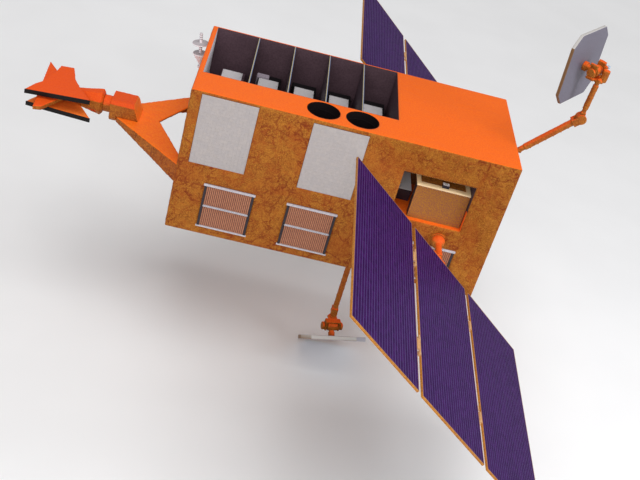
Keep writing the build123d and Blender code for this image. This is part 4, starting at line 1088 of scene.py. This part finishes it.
for k, n in enumerate(("upper_antenna_azimuth_gimbal", "upper_antenna_elevation_gimbal", "lower_antenna_azimuth_gimbal", "lower_antenna_elevation_gimbal")):
    wrapped(n.replace("_gimbal", "_wrap"), [n], 0.005, M["gimbal"], 0.0032, 0.045, 70 + k, extra=head_padding if k == 0 else None)
bm = bmesh.new()
disc(bm, HEAD @ Vector((-0.034, -0.087, 0.173)), HEAD.to_3x3() @ Vector((1, 0, 0)), 0.0185, 0.030, 24, 0.004)
disc(bm, HEAD @ Vector((-0.037, -0.087, 0.173)), HEAD.to_3x3() @ Vector((1, 0, 0)), 0.0120, 0.006, 24, 0.002)
finish_piece(from_bm("upper_antenna_sensor_nub", bm, M["nub"]), BODY_OF["upper_antenna_azimuth_gimbal"])
softened("upper_reflector_plate", ["upper_antenna_reflector"], 0.004, M["reflector"], 3, 20)
softened("lower_reflector_plate", ["lower_antenna_reflector"], 0.004, M["reflector_low"], 3, 20)


def bands(name, points, r, count, body, material, width=0.012):
    """Tape wraps round a straight boom."""
    bm = bmesh.new()
    a, b = Vector(points[0]), Vector(points[1])
    axis = (b - a).normalized()
    for k in range(count):
        c = a.lerp(b, (k + 0.5) / count)
        lathe(bm, c - axis * width / 2, axis, [(r - 0.004, -0.001), (r + 0.0014, 0.0), (r + 0.0020, width * 0.5), (r + 0.0014, width), (r - 0.004, width + 0.001)], 28)
    obj = from_bm(name, bm, material)
    ease(obj, 50)
    return finish_piece(obj, body)


UP_A, UP_B, UP_C = Vector((-0.040, -0.350, 0.868)), Vector((0.486, -0.350, 1.437)), Vector((0.500, -0.350, 1.900))
d1, d2 = (UP_B - UP_A).normalized(), (UP_C - UP_B).normalized()
bands("upper_boom_bands_a", (UP_A + d1 * 0.08, UP_B - d1 * 0.12), 0.040, 6, "upper_antenna_lower_boom", M["gimbal"])
bands("upper_boom_bands_b", (UP_B + d2 * 0.13, UP_C - d2 * 0.05), 0.033, 3, "upper_antenna_upper_boom", M["gimbal"])
bands("lower_boom_bands", (Vector((-1.526, -0.400, -1.13)), Vector((-1.526, -0.400, -1.87))), 0.035, 6, "lower_antenna_boom", M["gimbal"])

# ------------------------------------------------------------------ floor, light and world
lo, hi = Vector(CAD_BOX[0]), Vector(CAD_BOX[1])
floor_z = lo.z - 0.02
m, t, s = new_material("floor")
n = noise_node(t, 0.6, 2.0, 0.5)
t.links.new(mix_colour(t, ramp(t, n, 0.3, 0.7, 0.0, 1.0), lin(246, 246, 247), lin(243, 243, 244)), s.inputs["Base Color"])
set_plain(s, 0.85, 0.0, 0.0, 0.2, 0.2)
mesh = bpy.data.meshes.new("floor")
size = 60.0
mesh.from_pydata([(-size, -size, floor_z), (size, -size, floor_z), (size, size, floor_z), (-size, size, floor_z)], [], [(0, 1, 2, 3)])
mesh.materials.append(m)
floor = link(bpy.data.objects.new("floor", mesh))

world = bpy.data.worlds.new("studio")
world.use_nodes = True
bg = world.node_tree.nodes["Background"]
bg.inputs["Color"].default_value = (0.94, 0.95, 0.97, 1)
bg.inputs["Strength"].default_value = 0.34
scene.world = world


def lamp(name, place, aim, size, power, colour=(1, 1, 1)):
    data = bpy.data.lights.new(name, "AREA")
    data.shape, data.size, data.size_y, data.energy, data.color = "RECTANGLE", size[0], size[1], power, colour
    obj = link(bpy.data.objects.new(name, data))
    obj.location = place
    obj.rotation_euler = (Vector(aim) - Vector(place)).to_track_quat("-Z", "Y").to_euler()
    return obj


sun = bpy.data.lights.new("overhead", "SUN")
sun.energy, sun.angle, sun.color = 1.45, math.radians(50), (1.0, 0.99, 0.975)
sun_obj = link(bpy.data.objects.new("overhead", sun))
sun_obj.rotation_euler = Vector((-0.14, 0.30, -1.0)).to_track_quat("-Z", "Y").to_euler()
lamp("front", (-4.6, -12.2, 6.4), (-1.9, 0.0, -0.1), (7.0, 4.0), 560.0, (1.0, 0.99, 0.98))
lamp("side", (7.0, -4.5, 5.0), (-2.5, 0.0, 0.3), (4.0, 4.0), 350.0, (0.96, 0.98, 1.0))
lamp("back", (-5.0, 9.0, 7.0), (-1.8, 0.0, 0.0), (6.0, 4.0), 60.0, (0.98, 0.99, 1.0))

scene.view_settings.view_transform = "Standard"
scene.view_settings.look = "None"
scene.view_settings.exposure = 0.0
scene.view_settings.gamma = 1.0
